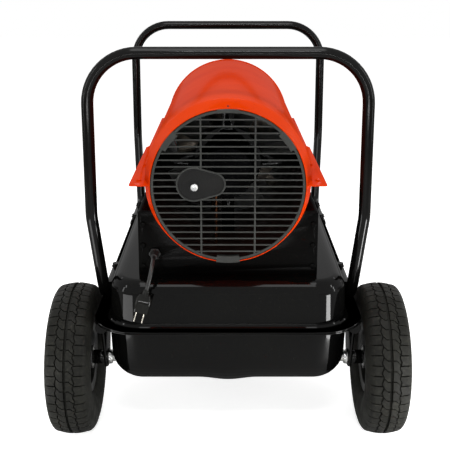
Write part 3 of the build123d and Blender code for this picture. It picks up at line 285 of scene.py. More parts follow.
# solder mask on the board: deep green with pale metal dots
finishes["circuit_board"] = finish("solderMaskGreen", {"IOR": 1.5}, {
    "shades": ("#11502c", "#166338", 120), "speck": ("#c2a35a", 420, 0.64, 0.9),
    "gloss": (150, 0.25, 0.4), "grain": (800, 0.15, 0.1),
})
# nylon of the switch frame and knob: satin black
finishes["switch_plastic"] = finish("mouldedNylonBlack", {"IOR": 1.53}, {
    "shades": ("#0d0d0d", "#161615", 90), "speck": ("#2e2e2b", 900, 0.56, 0.3),
    "gloss": (120, 0.25, 0.42), "grain": (1400, 0.12, 0.08),
})
# nylon rocker: clear red with a soft glow in its edges
finishes["rocker_plastic"] = finish("mouldedNylonRed", {
    "IOR": 1.53, "Subsurface Weight": 0.08, "Subsurface Scale": 0.002,
}, {
    "shades": ("#a3130d", "#b91a12", 120), "speck": ("#6d0d08", 900, 0.58, 0.3),
    "gloss": (150, 0.18, 0.32), "grain": (1400, 0.08, 0.08),
})
# acrylic lens of the pilot lamp: orange red, half clear
finishes["lamp_lens"] = finish("mouldedAcrylicLens", {"IOR": 1.49, "Transmission Weight": 0.5}, {
    "shades": ("#c8321a", "#d8401f", 160), "speck": ("#8a1d0c", 900, 0.6, 0.3),
    "gloss": (200, 0.08, 0.2), "grain": (900, 0.1, 0.1),
})
# polyamide of the fuel cap: black with a spark-eroded grain
finishes["cap_plastic"] = finish("mouldedPolyamideBlack", {"IOR": 1.53}, {
    "shades": ("#121212", "#1b1b1a", 70), "speck": ("#35342f", 700, 0.55, 0.4),
    "gloss": (80, 0.35, 0.52), "grain": (1200, 0.25, 0.12),
})
# the inside of the barrel and nose: painted shade, a near-black red-brown standing in for the shade inside
# the shells
finishes["primer"] = finish("primerCoatInside", {"IOR": 1.45, "Specular IOR Level": 0.25}, {
    "shades": ("#1c0a06", "#2a0f08", 14), "speck": ("#120806", 180, 0.5, 0.5),
    "gloss": (30, 0.5, 0.7), "grain": (500, 0.15, 0.2),
})
slotOf = {part["node"]: part["material_slot"] for part in frame["record"]["subparts"]}
bodyOf = {node: body for body, members in frame["record"]["behaviour"]["bodies"].items() for node in members}
for node, thing in nodes.items():
    thing.data.materials.clear()
    thing.data.materials.append(finishes[slotOf[node]])
print("finishes made:", len(finishes))


# floor
floorFacts = {"half": 9.0, "below": 0.0005, "colour": "#f1f1f0", "rough": 0.95, "lift": 0.78}
floorBm = bmesh.new()
bmesh.ops.create_grid(floorBm, x_segments=1, y_segments=1, size=floorFacts["half"])
floorMesh = bpy.data.meshes.new("studioFloor")
floorBm.to_mesh(floorMesh)
floorBm.free()
floor = addObject("studioFloor", floorMesh)
floor.location.z = -floorFacts["below"]
floorPaint = bpy.data.materials.new("paintedStudioFloor")
floorPaint.use_nodes = True
floorTree = floorPaint.node_tree
floorShader = floorTree.nodes["Principled BSDF"]
floorShader.inputs["Base Color"].default_value = hexColour(floorFacts["colour"])
floorShader.inputs["Roughness"].default_value = floorFacts["rough"]
floorShader.inputs["Specular IOR Level"].default_value = 0.0


def seenRays(tree):
    # 1 where the eye, a reflection or clear plastic looks, 0 where light is gathered
    rays = addNode(tree, "ShaderNodeLightPath", {})
    mirrored = addNode(tree, "ShaderNodeMath", {"operation": "ADD"}, [
        (0, rays.outputs["Is Camera Ray"]), (1, rays.outputs["Is Glossy Ray"]),
    ])
    return addNode(tree, "ShaderNodeMath", {"operation": "ADD", "use_clamp": True}, [
        (0, mirrored.outputs[0]), (1, rays.outputs["Is Transmission Ray"]),
    ]).outputs[0]


# the floor's own glow lifts it to the backdrop's white where the eye looks at it, and leaves the shadow on it
floorRays = addNode(floorTree, "ShaderNodeLightPath", {})
floorLift = addNode(floorTree, "ShaderNodeMath", {"operation": "MULTIPLY", 1: floorFacts["lift"]},
                    [(0, floorRays.outputs["Is Camera Ray"])])
floorGlow = addNode(floorTree, "ShaderNodeEmission", {"Color": (1, 1, 1, 1)},
                    [("Strength", floorLift.outputs[0])])
floorSum = addNode(floorTree, "ShaderNodeAddShader", {},
                   [(0, floorShader.outputs[0]), (1, floorGlow.outputs[0])])
floorTree.links.new(floorSum.outputs[0], floorTree.nodes["Material Output"].inputs["Surface"])
floorMesh.materials.append(floorPaint)

# the world is white where it is seen or mirrored, and a soft grey as light
worldFacts = {"grey": (0.9, 0.9, 0.9, 1), "light": 0.38, "seen": 1.0}
world = bpy.data.worlds.new("studioWorld")
bpy.context.scene.world = world
world.use_nodes = True
worldTree = world.node_tree
skyLight = worldTree.nodes["Background"]
skyLight.inputs["Color"].default_value = worldFacts["grey"]
skyLight.inputs["Strength"].default_value = worldFacts["light"]
seenWhite = addNode(worldTree, "ShaderNodeBackground",
                    {"Color": (1, 1, 1, 1), "Strength": worldFacts["seen"]})
worldMix = addNode(worldTree, "ShaderNodeMixShader", {}, [
    (0, seenRays(worldTree)), (1, skyLight.outputs[0]), (2, seenWhite.outputs[0]),
])
worldTree.links.new(worldMix.outputs[0], worldTree.nodes["World Output"].inputs["Surface"])
print("floor and light ready")


# helpers that shape the pieces
def moveBy(bm, vec, verts=None):
    bmesh.ops.translate(bm, vec=vec, verts=bm.verts if verts is None else verts)


def faceOutwards(bm):
    bmesh.ops.recalc_face_normals(bm, faces=bm.faces)


def roundEdges(bm, edges, width, steps=2):
    bmesh.ops.bevel(bm, geom=edges, offset=width * mm, offset_type="OFFSET", segments=steps, profile=0.5,
                    affect="EDGES", clamp_overlap=True, material=-1)


def roundCorners(bm, corners, radius, steps, clamp=True):
    bmesh.ops.bevel(bm, geom=corners, offset=radius * mm, offset_type="OFFSET", segments=steps, profile=0.5,
                    affect="VERTICES", clamp_overlap=clamp, material=-1)


def cutThrough(bm, place, way, dropInner=False):
    bmesh.ops.bisect_plane(bm, geom=bm.verts[:] + bm.edges[:] + bm.faces[:], dist=1e-7, plane_co=place,
                           plane_no=way, clear_inner=dropInner)


def onlyOf(kind, grown):
    return [part for part in grown["geom"] if isinstance(part, kind)]


def placePiece(name, bm, slot, body, stands=(), sharp=32, coat=None):
    bmesh.ops.remove_doubles(bm, verts=bm.verts, dist=2e-6)
    for face in bm.faces:
        face.smooth = True
    limit = math.radians(sharp)
    for edge in bm.edges:
        edge.smooth = len(edge.link_faces) == 2 and edge.calc_face_angle(0) < limit
    mesh = bpy.data.meshes.new(name)
    bm.to_mesh(mesh)
    bm.free()
    piece = addObject(name, mesh)
    mesh.materials.append(finishes[coat or slot])
    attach(piece, body)
    if stands:
        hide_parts(*stands)
    return piece


def softenedCopy(node, width, coat=None):
    # the node's own form with its doubles merged, its flats made whole and its edges rounded
    bm = bmesh.new()
    bm.from_mesh(nodes[node].data)
    bmesh.ops.remove_doubles(bm, verts=bm.verts, dist=2e-6)
    bmesh.ops.dissolve_limit(bm, angle_limit=math.radians(0.6), verts=bm.verts, edges=bm.edges)
    edges = [e for e in bm.edges if len(e.link_faces) == 2 and e.calc_face_angle(0) > math.radians(30)]
    if width:
        roundEdges(bm, edges, width)
    return placePiece(node + "Soft", bm, slotOf[node], bodyOf[node], [node], coat=coat)


# mains lead
leadFacts = {"diameter": 6.5, "length": 0.0668, "exit": (-121.0, -373.5, 336.0)}
leadSteps = [(0, 0, 0), (0, -12.5, 0), (-0.8, -25, -5.6), (-2.4, -34.6, -15.4), (-5.2, -39.6, -27.6),
             (-9, -40.6, -40.9)]
leadCurve = bpy.data.curves.new("mainsLead", "CURVE")
leadCurve.dimensions = "3D"
leadCurve.bevel_depth = leadFacts["diameter"] / 2 * mm
leadCurve.bevel_resolution = 6
leadCurve.resolution_u = 16
leadSpline = leadCurve.splines.new("NURBS")
leadSpline.points.add(len(leadSteps) - 1)
for point, step in zip(leadSpline.points, leadSteps):
    point.co = (*(at(*leadFacts["exit"]) + at(*step)), 1)
leadSpline.order_u = 3
leadSpline.use_endpoint_u = True
lead = addObject("mainsLead", leadCurve)
leadCurve.materials.append(finishes["cord_rubber"])
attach(lead, "chassis")
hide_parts("power_cord")
print("mains lead made")


# bent tubes: handles and stand
def bentTube(name, corners, radii, tubeR):
    # straight runs joined by arcs, each arc one Bezier span between its two tangent points
    curve = bpy.data.curves.new(name, "CURVE")
    curve.dimensions = "3D"
    curve.bevel_depth = tubeR * mm
    curve.bevel_resolution = 8
    curve.resolution_u = 14
    curve.use_fill_caps = True
    points = [at(*corner) for corner in corners]
    stops = [(points[0], points[0], points[0])]
    for before, corner, after, radius in zip(points, points[1:], points[2:], radii):
        wayIn, wayOut = (corner - before).normalized(), (after - corner).normalized()
        turn = wayIn.angle(wayOut)
        reach = radius * mm * math.tan(turn / 2)
        grip = 4 / 3 * math.tan(turn / 4) * radius * mm
        start, end = corner - wayIn * reach, corner + wayOut * reach
        stops.append((start, start - wayIn * 0.004, start + wayIn * grip))
        stops.append((end, end - wayOut * grip, end + wayOut * 0.004))
    stops.append((points[-1], points[-1], points[-1]))
    spline = curve.splines.new("BEZIER")
    spline.bezier_points.add(len(stops) - 1)
    for point, (co, left, right) in zip(spline.bezier_points, stops):
        point.handle_left_type = point.handle_right_type = "FREE"
        point.co, point.handle_left, point.handle_right = co, left, right
    holder = addObject(name, curve)
    bm = bmesh.new()
    bpy.context.view_layer.update()
    bm.from_mesh(bpy.data.meshes.new_from_object(holder.evaluated_get(bpy.context.evaluated_depsgraph_get())))
    bpy.data.objects.remove(holder)
    bpy.data.curves.remove(curve)
    return bm


handleFacts = {"tubeR": 10.0, "half": 228.0, "bendZ": 392.0, "topZ": 663.0, "footX": 212.5,
               "footLen": 165.0, "boltsAlong": (50, 145), "radii": [45, 70, 82, 82, 70, 45]}
# where each hoop stands, the way its feet point, and how far it leans
hoops = {"rear_handle": (-325.5, 1, 25.0), "front_handle": (428.5, -1, 100.0)}
footX = handleFacts["footX"]
boltPlaces = []
for name, (handleY, way, lean) in hoops.items():
    footY = handleY + way * lean
    right = [
        (footX, footY + way * handleFacts["footLen"], footZ), (footX, footY, footZ),
        (handleFacts["half"], handleY, handleFacts["bendZ"]),
        (handleFacts["half"], handleY, handleFacts["topZ"]),
    ]
    corners = right + [(-x, y, z) for x, y, z in reversed(right)]
    tube = bentTube(name, corners, handleFacts["radii"], handleFacts["tubeR"])
    placePiece(name + "Tube", tube, "tube_enamel", "chassis", [name])
    for side in (-1, 1):
        boltPlaces += [(side * footX, footY + way * along) for along in handleFacts["boltsAlong"]]
print("handles bent")


# fuel tank: two pressed halves
def moveOutline(verts, middle, old, new):
    # moves a rounded rectangle's points to one of another size, corner by corner
    for vert in verts:
        x, y = vert.co.x / mm, vert.co.y / mm - middle
        sideX, sideY = math.copysign(1, x), math.copysign(1, y)
        outX, outY = (abs(x) - (old[0] - old[2])) / old[2], (abs(y) - (old[1] - old[2])) / old[2]
        vert.co.x = sideX * (new[0] - new[2] + outX * new[2]) * mm
        vert.co.y = (middle + sideY * (new[1] - new[2] + outY * new[2])) * mm


def pressedForm(middle, startZ, levels, cornerSteps):
    # a rounded outline raised through its levels, each given as half width, half length, corner and height
    bm = bmesh.new()
    bmesh.ops.create_grid(bm, x_segments=1, y_segments=1, size=1)
    halfX, halfY, corner, height = levels[0]
    bmesh.ops.scale(bm, vec=(halfX * mm, halfY * mm, 1), verts=bm.verts)
    moveBy(bm, at(0, middle, startZ + height))
    roundCorners(bm, list(bm.verts), corner, cornerSteps, clamp=False)
    face = bm.faces[:][0]
    for before, level in zip(levels, levels[1:]):
        grown = bmesh.ops.extrude_face_region(bm, geom=[face])
        face = onlyOf(bmesh.types.BMFace, grown)[0]
        moveOutline(face.verts, middle, before, level)
        moveBy(bm, (0, 0, (level[3] - before[3]) * mm), face.verts)
    faceOutwards(bm)
    return bm


tankFacts = {
    "middle": -15.0, "flange": (225.0, 406.5, 78.0), "bodyLen": 384.5, "corner": 58.0, "draft": 2.0,
    "cornerSteps": 14,
    "upper": {"half": 198.0, "depth": 78.0, "edge": 22.0},
    "lower": {"half": 200.0, "depth": 105.0, "edge": 48.0},
    "channelR": 16.0, "bulge": {"half": 50.0, "run": 26.0, "reach": 60.0, "deep": 4.0},
}


def tankLevels(facts, way):
    half, depth, edge = facts["half"], facts["depth"], facts["edge"]
    flangeX, flangeY, flangeCorner = tankFacts["flange"]
    body = (half, tankFacts["bodyLen"], tankFacts["corner"])
    levels = [(half - 4, body[1] - 4, body[2] - 4, 0.06)]
    # flange with its rounded rim, then the flare at the body's foot
    levels += [(flangeX - inset, flangeY - inset, flangeCorner - inset, up) for inset, up in (
        (1.1, 0.06), (0.4, 0.3), (0.0, 0.9), (0.0, 1.6), (0.35, 2.2), (1.1, 2.5),
    )]
    levels += [(body[0] + out, body[1] + out, body[2] + out, up) for out, up in (
        (6.0, 2.5), (3.6, 2.9), (1.7, 4.1), (0.4, 6.2), (-0.15, 9.0),
    )]
    slope = math.tan(math.radians(tankFacts["draft"]))
    wallTop = depth - edge
    levels.append((body[0] - wallTop * slope, body[1] - wallTop * slope, body[2] - wallTop * slope, wallTop))
    for step in range(1, 10):
        turn = math.radians(10 * step)
        inset = wallTop * slope + edge * (1 - math.cos(turn))
        levels.append((body[0] - inset, body[1] - inset, body[2] - inset, wallTop + edge * math.sin(turn)))
    return [(x, y, c, way * up) for x, y, c, up in levels]


middle, steps = tankFacts["middle"], tankFacts["cornerSteps"]
tankUpper = pressedForm(middle, seamZ, tankLevels(tankFacts["upper"], 1), steps)
placePiece("tankUpperPressing", tankUpper, "black_enamel", "chassis", ["tank_upper"], sharp=40)
tankLower = pressedForm(middle, seamZ, tankLevels(tankFacts["lower"], -1), steps)
# the channel that the axle runs in: cut lines along it, then what lies under its roof is raised to it
channelR = tankFacts["channelR"]
for step in range(-8, 9):
    offsets = [channelR * math.sin(math.radians(11.25 * step))]
    if abs(step) == 8:
        offsets.append(math.copysign(channelR + 0.8, step))
    for offset in offsets:
        cutThrough(tankLower, at(0, axleY + offset, 0), (0, 1, 0))
for vert in tankLower.verts:
    along = abs(vert.co.y / mm - axleY)
    if along < channelR + 0.01:
        roof = axleZ + math.sqrt(max(channelR**2 - along**2, 0))
        vert.co.z = max(vert.co.z, roof * mm)
# the pressed low point: cut lines across the edge under the intake end, then a smooth bulge out of its curve
bulge = tankFacts["bulge"]
for step in range(-7, 8):
    cutThrough(tankLower, at(bulge["half"] * step / 7, 0, 0), (1, 0, 0))
edgeY = middle - tankFacts["bodyLen"] + tankFacts["lower"]["edge"]
edgeZ = tankBottom + tankFacts["lower"]["edge"]
for offset in (4, 12, 20):
    cutThrough(tankLower, at(0, edgeY + offset, 0), (0, 1, 0))
for vert in tankLower.verts:
    x, y, z = vert.co.x / mm, vert.co.y / mm, vert.co.z / mm
    if abs(x) < bulge["half"] and z < edgeZ and edgeY - bulge["reach"] < y < edgeY + bulge["run"]:
        way = Vector((0, min(y - edgeY, 0), z - edgeZ)).normalized()
        # full where the curve is half way round, nothing at its ends
        share = (1 - z / edgeZ) / (1 - tankBottom / edgeZ) if y < edgeY else 1 - (y - edgeY) / bulge["run"]
        swell = math.cos(math.pi / 2 * x / bulge["half"]) ** 2 * math.sin(math.pi / 2 * min(max(share, 0), 1))
        vert.co += way * bulge["deep"] * swell * mm
placePiece("tankLowerPressing", tankLower, "black_enamel", "chassis", ["tank_lower"], sharp=40)
print("tank pressed")


# tyres with their block tread
tyreFacts = {
    "wheelX": 265.0, "pitches": 48, "centreGroove": 5.0, "sipe": 2.6, "edgeGroove": 3.4, "shoulderSipe": 3.2,
    "lastSipe": 2.0, "weave": 1.3,
    # outside from the centre groove's edge to the bead: distance from the middle, radius
    "outside": [
        (0.0, 130.0), (1.5, 130.0), (2.4, 130.0), (5.4, 129.9), (7.1, 129.7), (9.0, 129.5), (12.3, 129.0),
        (13.3, 128.8), (13.8, 128.7), (15.0, 128.5), (15.5, 128.4), (19.1, 127.6), (23.0, 126.7),
        (26.4, 125.9), (28.9, 124.6), (31.0, 122.6), (33.5, 118.6), (35.6, 112.0), (36.9, 104.0),
        (37.5, 96.0), (36.6, 85.0), (33.8, 74.0), (30.0, 66.5), (25.6, 62.0), (23.2, 60.5),
    ],
    "inside": [
        (23.0, 52.5), (14.0, 52.2), (15.0, 64.0), (24.0, 78.0), (29.0, 92.0), (22.0, 108.0), (0.0, 118.0),
    ],
}


def treadTyre(wheelX):
    facts = tyreFacts
    bm = bmesh.new()
    pitchTurn = 2 * math.pi / facts["pitches"]
    half = facts["outside"] + facts["inside"]
    loop = [(y, r, row) for row, (y, r) in enumerate(half)]
    loop += [(-y, r, row) for row, (y, r) in reversed(list(enumerate(half))) if 0 < row < len(half) - 1]
    rows = bm.verts.layers.int.new("row")
    verts = [bm.verts.new((y * mm, 0, r * mm)) for y, r, row in loop]
    for vert, (y, r, row) in zip(verts, loop):
        vert[rows] = row
    edges = [bm.edges.new((a, b)) for a, b in zip(verts, verts[1:] + verts[:1])]
    # one pitch of the tread: its columns stand at a sipe's edges and over the block behind it
    bmesh.ops.spin(bm, geom=verts + edges, cent=(0, 0, 0), axis=(1, 0, 0), angle=pitchTurn, steps=8)
    arcs = [0.0, 0.03, 0.09, 0.12, 0.3, 0.48, 0.66, 0.83, 1.0]
    lastSiped = 15
    for vert in bm.verts:
        turn = math.atan2(-vert.co.y, vert.co.z)
        column = round(turn / pitchTurn * 8)
        row, y, radius = vert[rows], vert.co.x / mm, math.hypot(vert.co.y, vert.co.z) / mm
        side = 1 if y > 0 else -1
        # the sipes of the middle blocks step sideways half way, those of the shoulder stand between them
        shift = 0.0
        if 4 <= row <= 8:
            shift = (0.0, 0.12, 0.3, 0.36, 0.36)[row - 4] * side
        elif 9 <= row <= lastSiped + 2:
            shift = 0.5
        deep = 0.0
        if row <= 1:
            deep = facts["centreGroove"]
        elif row in (8, 9):
            deep = facts["edgeGroove"]
        if column in (1, 2):
            if 2 <= row <= 7:
                deep = max(deep, facts["sipe"])
            elif 10 <= row <= lastSiped:
                deep = max(deep, facts["shoulderSipe"] if row <= 13 else facts["lastSipe"])
        if 7 <= row <= 10:
            vert.co.x += side * facts["weave"] * math.sin(2 * math.pi * (arcs[column] + shift)) * mm
        angle = (arcs[column] + shift) * pitchTurn
        if row >= len(facts["outside"]):
            angle = turn
        vert.co.y, vert.co.z = -math.sin(angle) * (radius - deep) * mm, math.cos(angle) * (radius - deep) * mm
    ring = bm.verts[:] + bm.edges[:] + bm.faces[:]
    bmesh.ops.spin(bm, geom=ring, cent=(0, 0, 0), axis=(1, 0, 0), angle=2 * math.pi - pitchTurn,
                   steps=facts["pitches"] - 1, use_duplicate=True)
    bmesh.ops.remove_doubles(bm, verts=bm.verts, dist=1e-5)
    faceOutwards(bm)
    moveBy(bm, at(wheelX, axleY, axleZ))
    return bm


for side, sign in (("left", -1), ("right", 1)):
    tyre = treadTyre(sign * tyreFacts["wheelX"])
    placePiece(f"{side}TreadTyre", tyre, "tyre_rubber", f"wheel_{side}", [f"tyre_{side}"], sharp=38)
print("tyres treaded")

# stand: one bent tube under the flange, flattened where it stands, with a gusset plate for the axle
standFacts = {"railX": 212.5, "rear": axleY - 60, "legY": axleY + 655, "barY": axleY + 667, "barZ": 9.4,
              "bend": 50.0, "plateT": 5.0, "plateTop": 72.5, "plateHalf": 48.0, "plateFoot": (17.0, 15.0),
              "footR": 12.0, "plateEdge": 0.7}
rx = standFacts["railX"]
standCorners = [(-rx, standFacts["rear"], railZ), (-rx, standFacts["legY"], railZ),
                (-rx + 12, standFacts["barY"], standFacts["barZ"])]
standCorners += [(-x, y, z) for x, y, z in reversed(standCorners)]
standTube = bentTube("standTube", standCorners, [standFacts["bend"]] * 4, handleFacts["tubeR"])
for vert in standTube.verts:
    vert.co.z = max(vert.co.z, 0.0)


def joinInto(bm, other):
    # adds another shape's mesh to this one
    mesh = bpy.data.meshes.new("joined")
    other.to_mesh(mesh)
    other.free()
    bm.from_mesh(mesh)
    bpy.data.meshes.remove(mesh)


def plateFrom(corners, thick, roundings, edge):
    # a flat plate on the ground plane from its corners, some of them rounded, with softened edges
    bm = bmesh.new()
    verts = [bm.verts.new((x * mm, y * mm, 0)) for x, y in corners]
    bm.faces.new(verts)
    for index, radius in sorted(roundings, reverse=True):
        roundCorners(bm, [verts[index]], radius, 6)
    grown = bmesh.ops.extrude_face_region(bm, geom=bm.faces[:])
    moveBy(bm, (0, 0, thick * mm), onlyOf(bmesh.types.BMVert, grown))
    faceOutwards(bm)
    roundEdges(bm, [e for e in bm.edges if e.calc_face_angle(0) > math.radians(50)], edge)
    return bm


plateT, footR = standFacts["plateT"], standFacts["footR"]
top, half, (footHalf, footDown) = standFacts["plateTop"], standFacts["plateHalf"], standFacts["plateFoot"]
for side in (-1, 1):
    gusset = plateFrom([(half, top), (-half, top), (-footHalf, -footDown), (footHalf, -footDown)],
                       plateT, [(2, footR), (3, footR)], standFacts["plateEdge"])
    # the plate's own x runs along the heater and its y upwards
    turn = Matrix(((0, 0, 1), (1, 0, 0), (0, 1, 0)))
    bmesh.ops.rotate(gusset, cent=(0, 0, 0), matrix=turn, verts=gusset.verts)
    moveBy(gusset, at(side * rx - plateT / 2, axleY, axleZ))
    joinInto(standTube, gusset)
placePiece("standTube", standTube, "tube_enamel", "chassis", ["stand_frame"], sharp=40)
print("stand bent")


# fasteners, each made standing on the ground plane and turned to face its way
def facing(bm, way, place):
    turn = Vector((0, 0, 1)).rotation_difference(Vector(way)).to_matrix()
    bmesh.ops.rotate(bm, cent=(0, 0, 0), matrix=turn, verts=bm.verts)
    moveBy(bm, at(*place))
    return bm


def disc(radius, low, high, segments=32, edge=0.3):
    bm = bmesh.new()
    bmesh.ops.create_cone(bm, cap_ends=True, segments=segments, radius1=radius * mm, radius2=radius * mm,
                          depth=(high - low) * mm)
    moveBy(bm, at(0, 0, (low + high) / 2))
    if edge:
        roundEdges(bm, [e for e in bm.edges if abs(e.verts[0].co.z - e.verts[1].co.z) < 1e-7], edge)
    return bm


def hexHead(radius, low, high):
    # six flats under a turned chamfer: the corners of the top face are cut back
    bm = disc(radius, low, high, 6, 0)
    tops = [v for v in bm.verts if v.co.z > (low + high) / 2 * mm]
    roundCorners(bm, tops, radius * 0.3, 2)
    upright = [e for e in bm.edges if abs(e.verts[0].co.z - e.verts[1].co.z) > (high - low) * 0.5 * mm]
    roundEdges(bm, upright, 0.25)
    return bm


def slottedHead(radius, low, high, slot, deep):
    # a flat disc with two half moons on it, so that the slot runs through the rim
    bm = disc(radius, low, high - deep, 40, 0.2)
    for side in (-1, 1):
        half = bmesh.new()
        bmesh.ops.create_circle(half, cap_ends=True, segments=40, radius=radius * mm)
        cutThrough(half, (side * slot / 2 * mm, 0, 0), (side, 0, 0), dropInner=True)
        grown = bmesh.ops.extrude_face_region(half, geom=half.faces[:])
        moveBy(half, (0, 0, deep * mm), onlyOf(bmesh.types.BMVert, grown))
        moveBy(half, (0, 0, (high - deep) * mm))
        faceOutwards(half)
        rims = [e for e in half.edges if all(v.co.z > (high - 0.01) * mm for v in e.verts)]
        roundEdges(half, rims, min(0.5, deep * 0.4), 3)
        joinInto(bm, half)
    return bm


boltFacts = {"headR": 8.0, "head": 5.4, "nutR": 7.5, "nut": 6.0, "washerR": 9.0, "washer": 0.8, "shankR": 4.0,
             "proud": 2.0}
washer, headTop, nutLow = boltFacts["washer"], boltFacts["washer"] + boltFacts["head"], boltFacts["nut"]
headLow, nutHigh = footZ + handleFacts["tubeR"], railZ - handleFacts["tubeR"]
bolts = bmesh.new()
for x, y in boltPlaces:
    joinInto(bolts, facing(disc(boltFacts["washerR"], -0.3, washer), (0, 0, 1), (x, y, headLow)))
    joinInto(bolts, facing(hexHead(boltFacts["headR"], washer, headTop), (0, 0, 1), (x, y, headLow)))
    joinInto(bolts, facing(disc(boltFacts["washerR"], -0.3, washer), (0, 0, -1), (x, y, nutHigh)))
    joinInto(bolts, facing(hexHead(boltFacts["nutR"], washer, nutLow), (0, 0, -1), (x, y, nutHigh)))
    shank = disc(boltFacts["shankR"], nutHigh - nutLow - boltFacts["proud"], headLow + 1, 20, 0.5)
    joinInto(bolts, facing(shank, (0, 0, 1), (x, y, 0)))
placePiece("handleBoltSet", bolts, "zinc_steel", "chassis", ["handle_bolts"], coat="tube_enamel")

# axle fittings: a spacer and lock nut at each bracket, and a nut with a nylon insert outside each wheel
axleFacts = {
    # each from, to and radius along the axle
    "spacer": (215.0, 236.6, 12.0), "lockWasher": (209.4, 210.3, 14.5), "lockNut": (203.0, 209.4, 12.5),
    "nutWasher": (293.4, 294.8, 14.0), "nut": (294.8, 299.6, 13.0), "nutCollar": (299.0, 301.4, 10.6),
}
spacers, nuts = bmesh.new(), bmesh.new()
for side in (-1, 1):
    way, hub = (side, 0, 0), (0, axleY, axleZ)
    near, far, radius = axleFacts["lockNut"]
    joinInto(nuts, facing(hexHead(radius, -far, -near), (-side, 0, 0), hub))
    near, far, radius = axleFacts["nut"]
    joinInto(nuts, facing(hexHead(radius, near, far), way, hub))
    for name, holder, sides, edge in (("spacer", spacers, 40, 0.6), ("lockWasher", spacers, 32, 0.2),
                                      ("nutWasher", nuts, 40, 0.2), ("nutCollar", nuts, 36, 0.8)):
        near, far, radius = axleFacts[name]
        joinInto(holder, facing(disc(radius, near, far, sides, edge), way, hub))
placePiece("axleSpacerSet", spacers, "zinc_steel", "chassis", ["axle_spacers"], coat="tube_enamel")
placePiece("axleNutSet", nuts, "zinc_steel", "chassis", ["axle_nuts"])

# barrel: two half shells spun from the section of their sheet, with flat ears folded out along the joint
barrelFacts = {
    "r": 133.0, "lipR": 123.0, "rim": axleY - 105, "sheet": 1.5, "cone": 38.0, "steps": 71, "earT": 2.0,
    "earX": 154.8, "earLen": 300.0, "narrowX": 150.0, "flangeX": 147.7,
    "earCorner": 5.0, "flangeCorner": 3.0, "earEdge": 0.45,
    "screwX": 141.5, "screwStart": axleY - 74, "screwPitch": 111.0, "screws": 6,
    "hole": {"from": 6, "to": 26, "inset": 1.6, "deep": 1.2},
}


def shellSection(path, sheet):
    # the path of the sheet's outside, back along its inside, and a rolled hem at its first end
    back = [(r - sheet, y) for r, y in reversed(path)]
    r, y = path[0]
    hem = [(r - 1.0 + 1.15 * math.sin(math.radians(turn)), y - 0.2 - 1.15 * math.cos(math.radians(turn)))
           for turn in (-110, -75, -40, -10, 20, 50, 80)]
    return path + back + hem


def spunSection(section, turn, steps, full=False):
    bm = bmesh.new()
    verts = [bm.verts.new(at(r, y, barrelZ)) for r, y in section]
    edges = [bm.edges.new(pair) for pair in zip(verts, verts[1:] + verts[:1])]
    bmesh.ops.spin(bm, geom=verts + edges, cent=at(0, 0, barrelZ), axis=(0, 1, 0), angle=math.radians(turn),
                   steps=steps, use_merge=full)
    if not full:
        bmesh.ops.holes_fill(bm, edges=[e for e in bm.edges if e.is_boundary], sides=0)
    faceOutwards(bm)
    # what faces the axis is the sheet's inside, and takes the second material, the painted inside shade
    for face in bm.faces:
        centre = face.calc_center_median()
        outwards = Vector((centre.x, 0, centre.z - barrelZ * mm)).normalized()
        if face.normal.dot(outwards) < -0.5:
            face.material_index = 1
    return bm


lipR, sheetT = barrelFacts["lipR"], barrelFacts["sheet"]
rimY = barrelFacts["rim"]
coneEnd = rimY + barrelFacts["cone"]
mouthPath = [
    (lipR, rimY + 0.7), (lipR, rimY + 2.4), (lipR + 0.2, rimY + 3.4), (lipR + 0.8, rimY + 5.5),
    (lipR + 3.5, rimY + 14.5), (lipR + 6.3, rimY + 24.0), (lipR + 8.9, rimY + 32.8),
    (lipR + 9.6, rimY + 35.4),
    (barrelFacts["r"] - 0.05, coneEnd), (barrelFacts["r"], coneEnd + 3.0), (barrelFacts["r"], frontY),
]
upper = spunSection(shellSection(mouthPath, sheetT), -180, barrelFacts["steps"])
# a hole at the top of the lip, drawn as a shallow dimple whose floor takes the painted inside shade
hole = barrelFacts["hole"]
crest = [f for f in upper.faces if f.material_index == 0 and abs(f.calc_center_median().x) < 1e-4]
crest = [f for f in crest if (rimY + hole["from"]) * mm < f.calc_center_median().y < (rimY + hole["to"]) * mm]
top = min(crest, key=lambda f: f.calc_center_median().y)
bmesh.ops.inset_region(upper, faces=[top], thickness=hole["inset"] * mm, use_even_offset=True)
moveBy(upper, (0, 0, -hole["deep"] * mm), top.verts)
top.material_index = 1
earT, earX, narrowX = barrelFacts["earT"], barrelFacts["earX"], barrelFacts["narrowX"]
earEnd, lipMid, wallMid = rimY + barrelFacts["earLen"], lipR - sheetT / 2, barrelFacts["r"] - sheetT / 2
for side in (-1, 1):
    ear = plateFrom([
        (side * lipMid, rimY + 0.4), (side * earX, rimY + 0.4), (side * earX, earEnd),
        (side * narrowX, earEnd + 12), (side * narrowX, frontY), (side * wallMid, frontY),
        (side * wallMid, coneEnd), (side * lipMid, rimY + 2),
    ], earT, [(1, barrelFacts["earCorner"])], barrelFacts["earEdge"])
    moveBy(ear, at(0, 0, barrelZ))
    joinInto(upper, ear)
upperPiece = placePiece("upperShellSheet", upper, "barrel_enamel", "chassis", ["upper_shell"], sharp=34)
# the shell's inside gets the painted shade as its second material
upperPiece.data.materials.append(finishes["primer"])
lower = spunSection(shellSection(mouthPath, sheetT), 180, barrelFacts["steps"])
for side in (-1, 1):
    flange = plateFrom([
        (side * wallMid, lowerRearY), (side * barrelFacts["flangeX"], lowerRearY),
        (side * barrelFacts["flangeX"], frontY), (side * wallMid, frontY),
    ], earT, [(1, barrelFacts["flangeCorner"])], barrelFacts["earEdge"])
    moveBy(flange, at(0, 0, barrelZ - earT))
    joinInto(lower, flange)
lowerPiece = placePiece("lowerShellSheet", lower, "barrel_enamel", "chassis", ["lower_shell"], sharp=34)
lowerPiece.data.materials.append(finishes["primer"])
screwRadii = {"washer": 4.6, "head": 3.4, "nut": 4.4, "stem": 2.4}
shellScrews = bmesh.new()
upZ, downZ = barrelZ + earT, barrelZ - earT
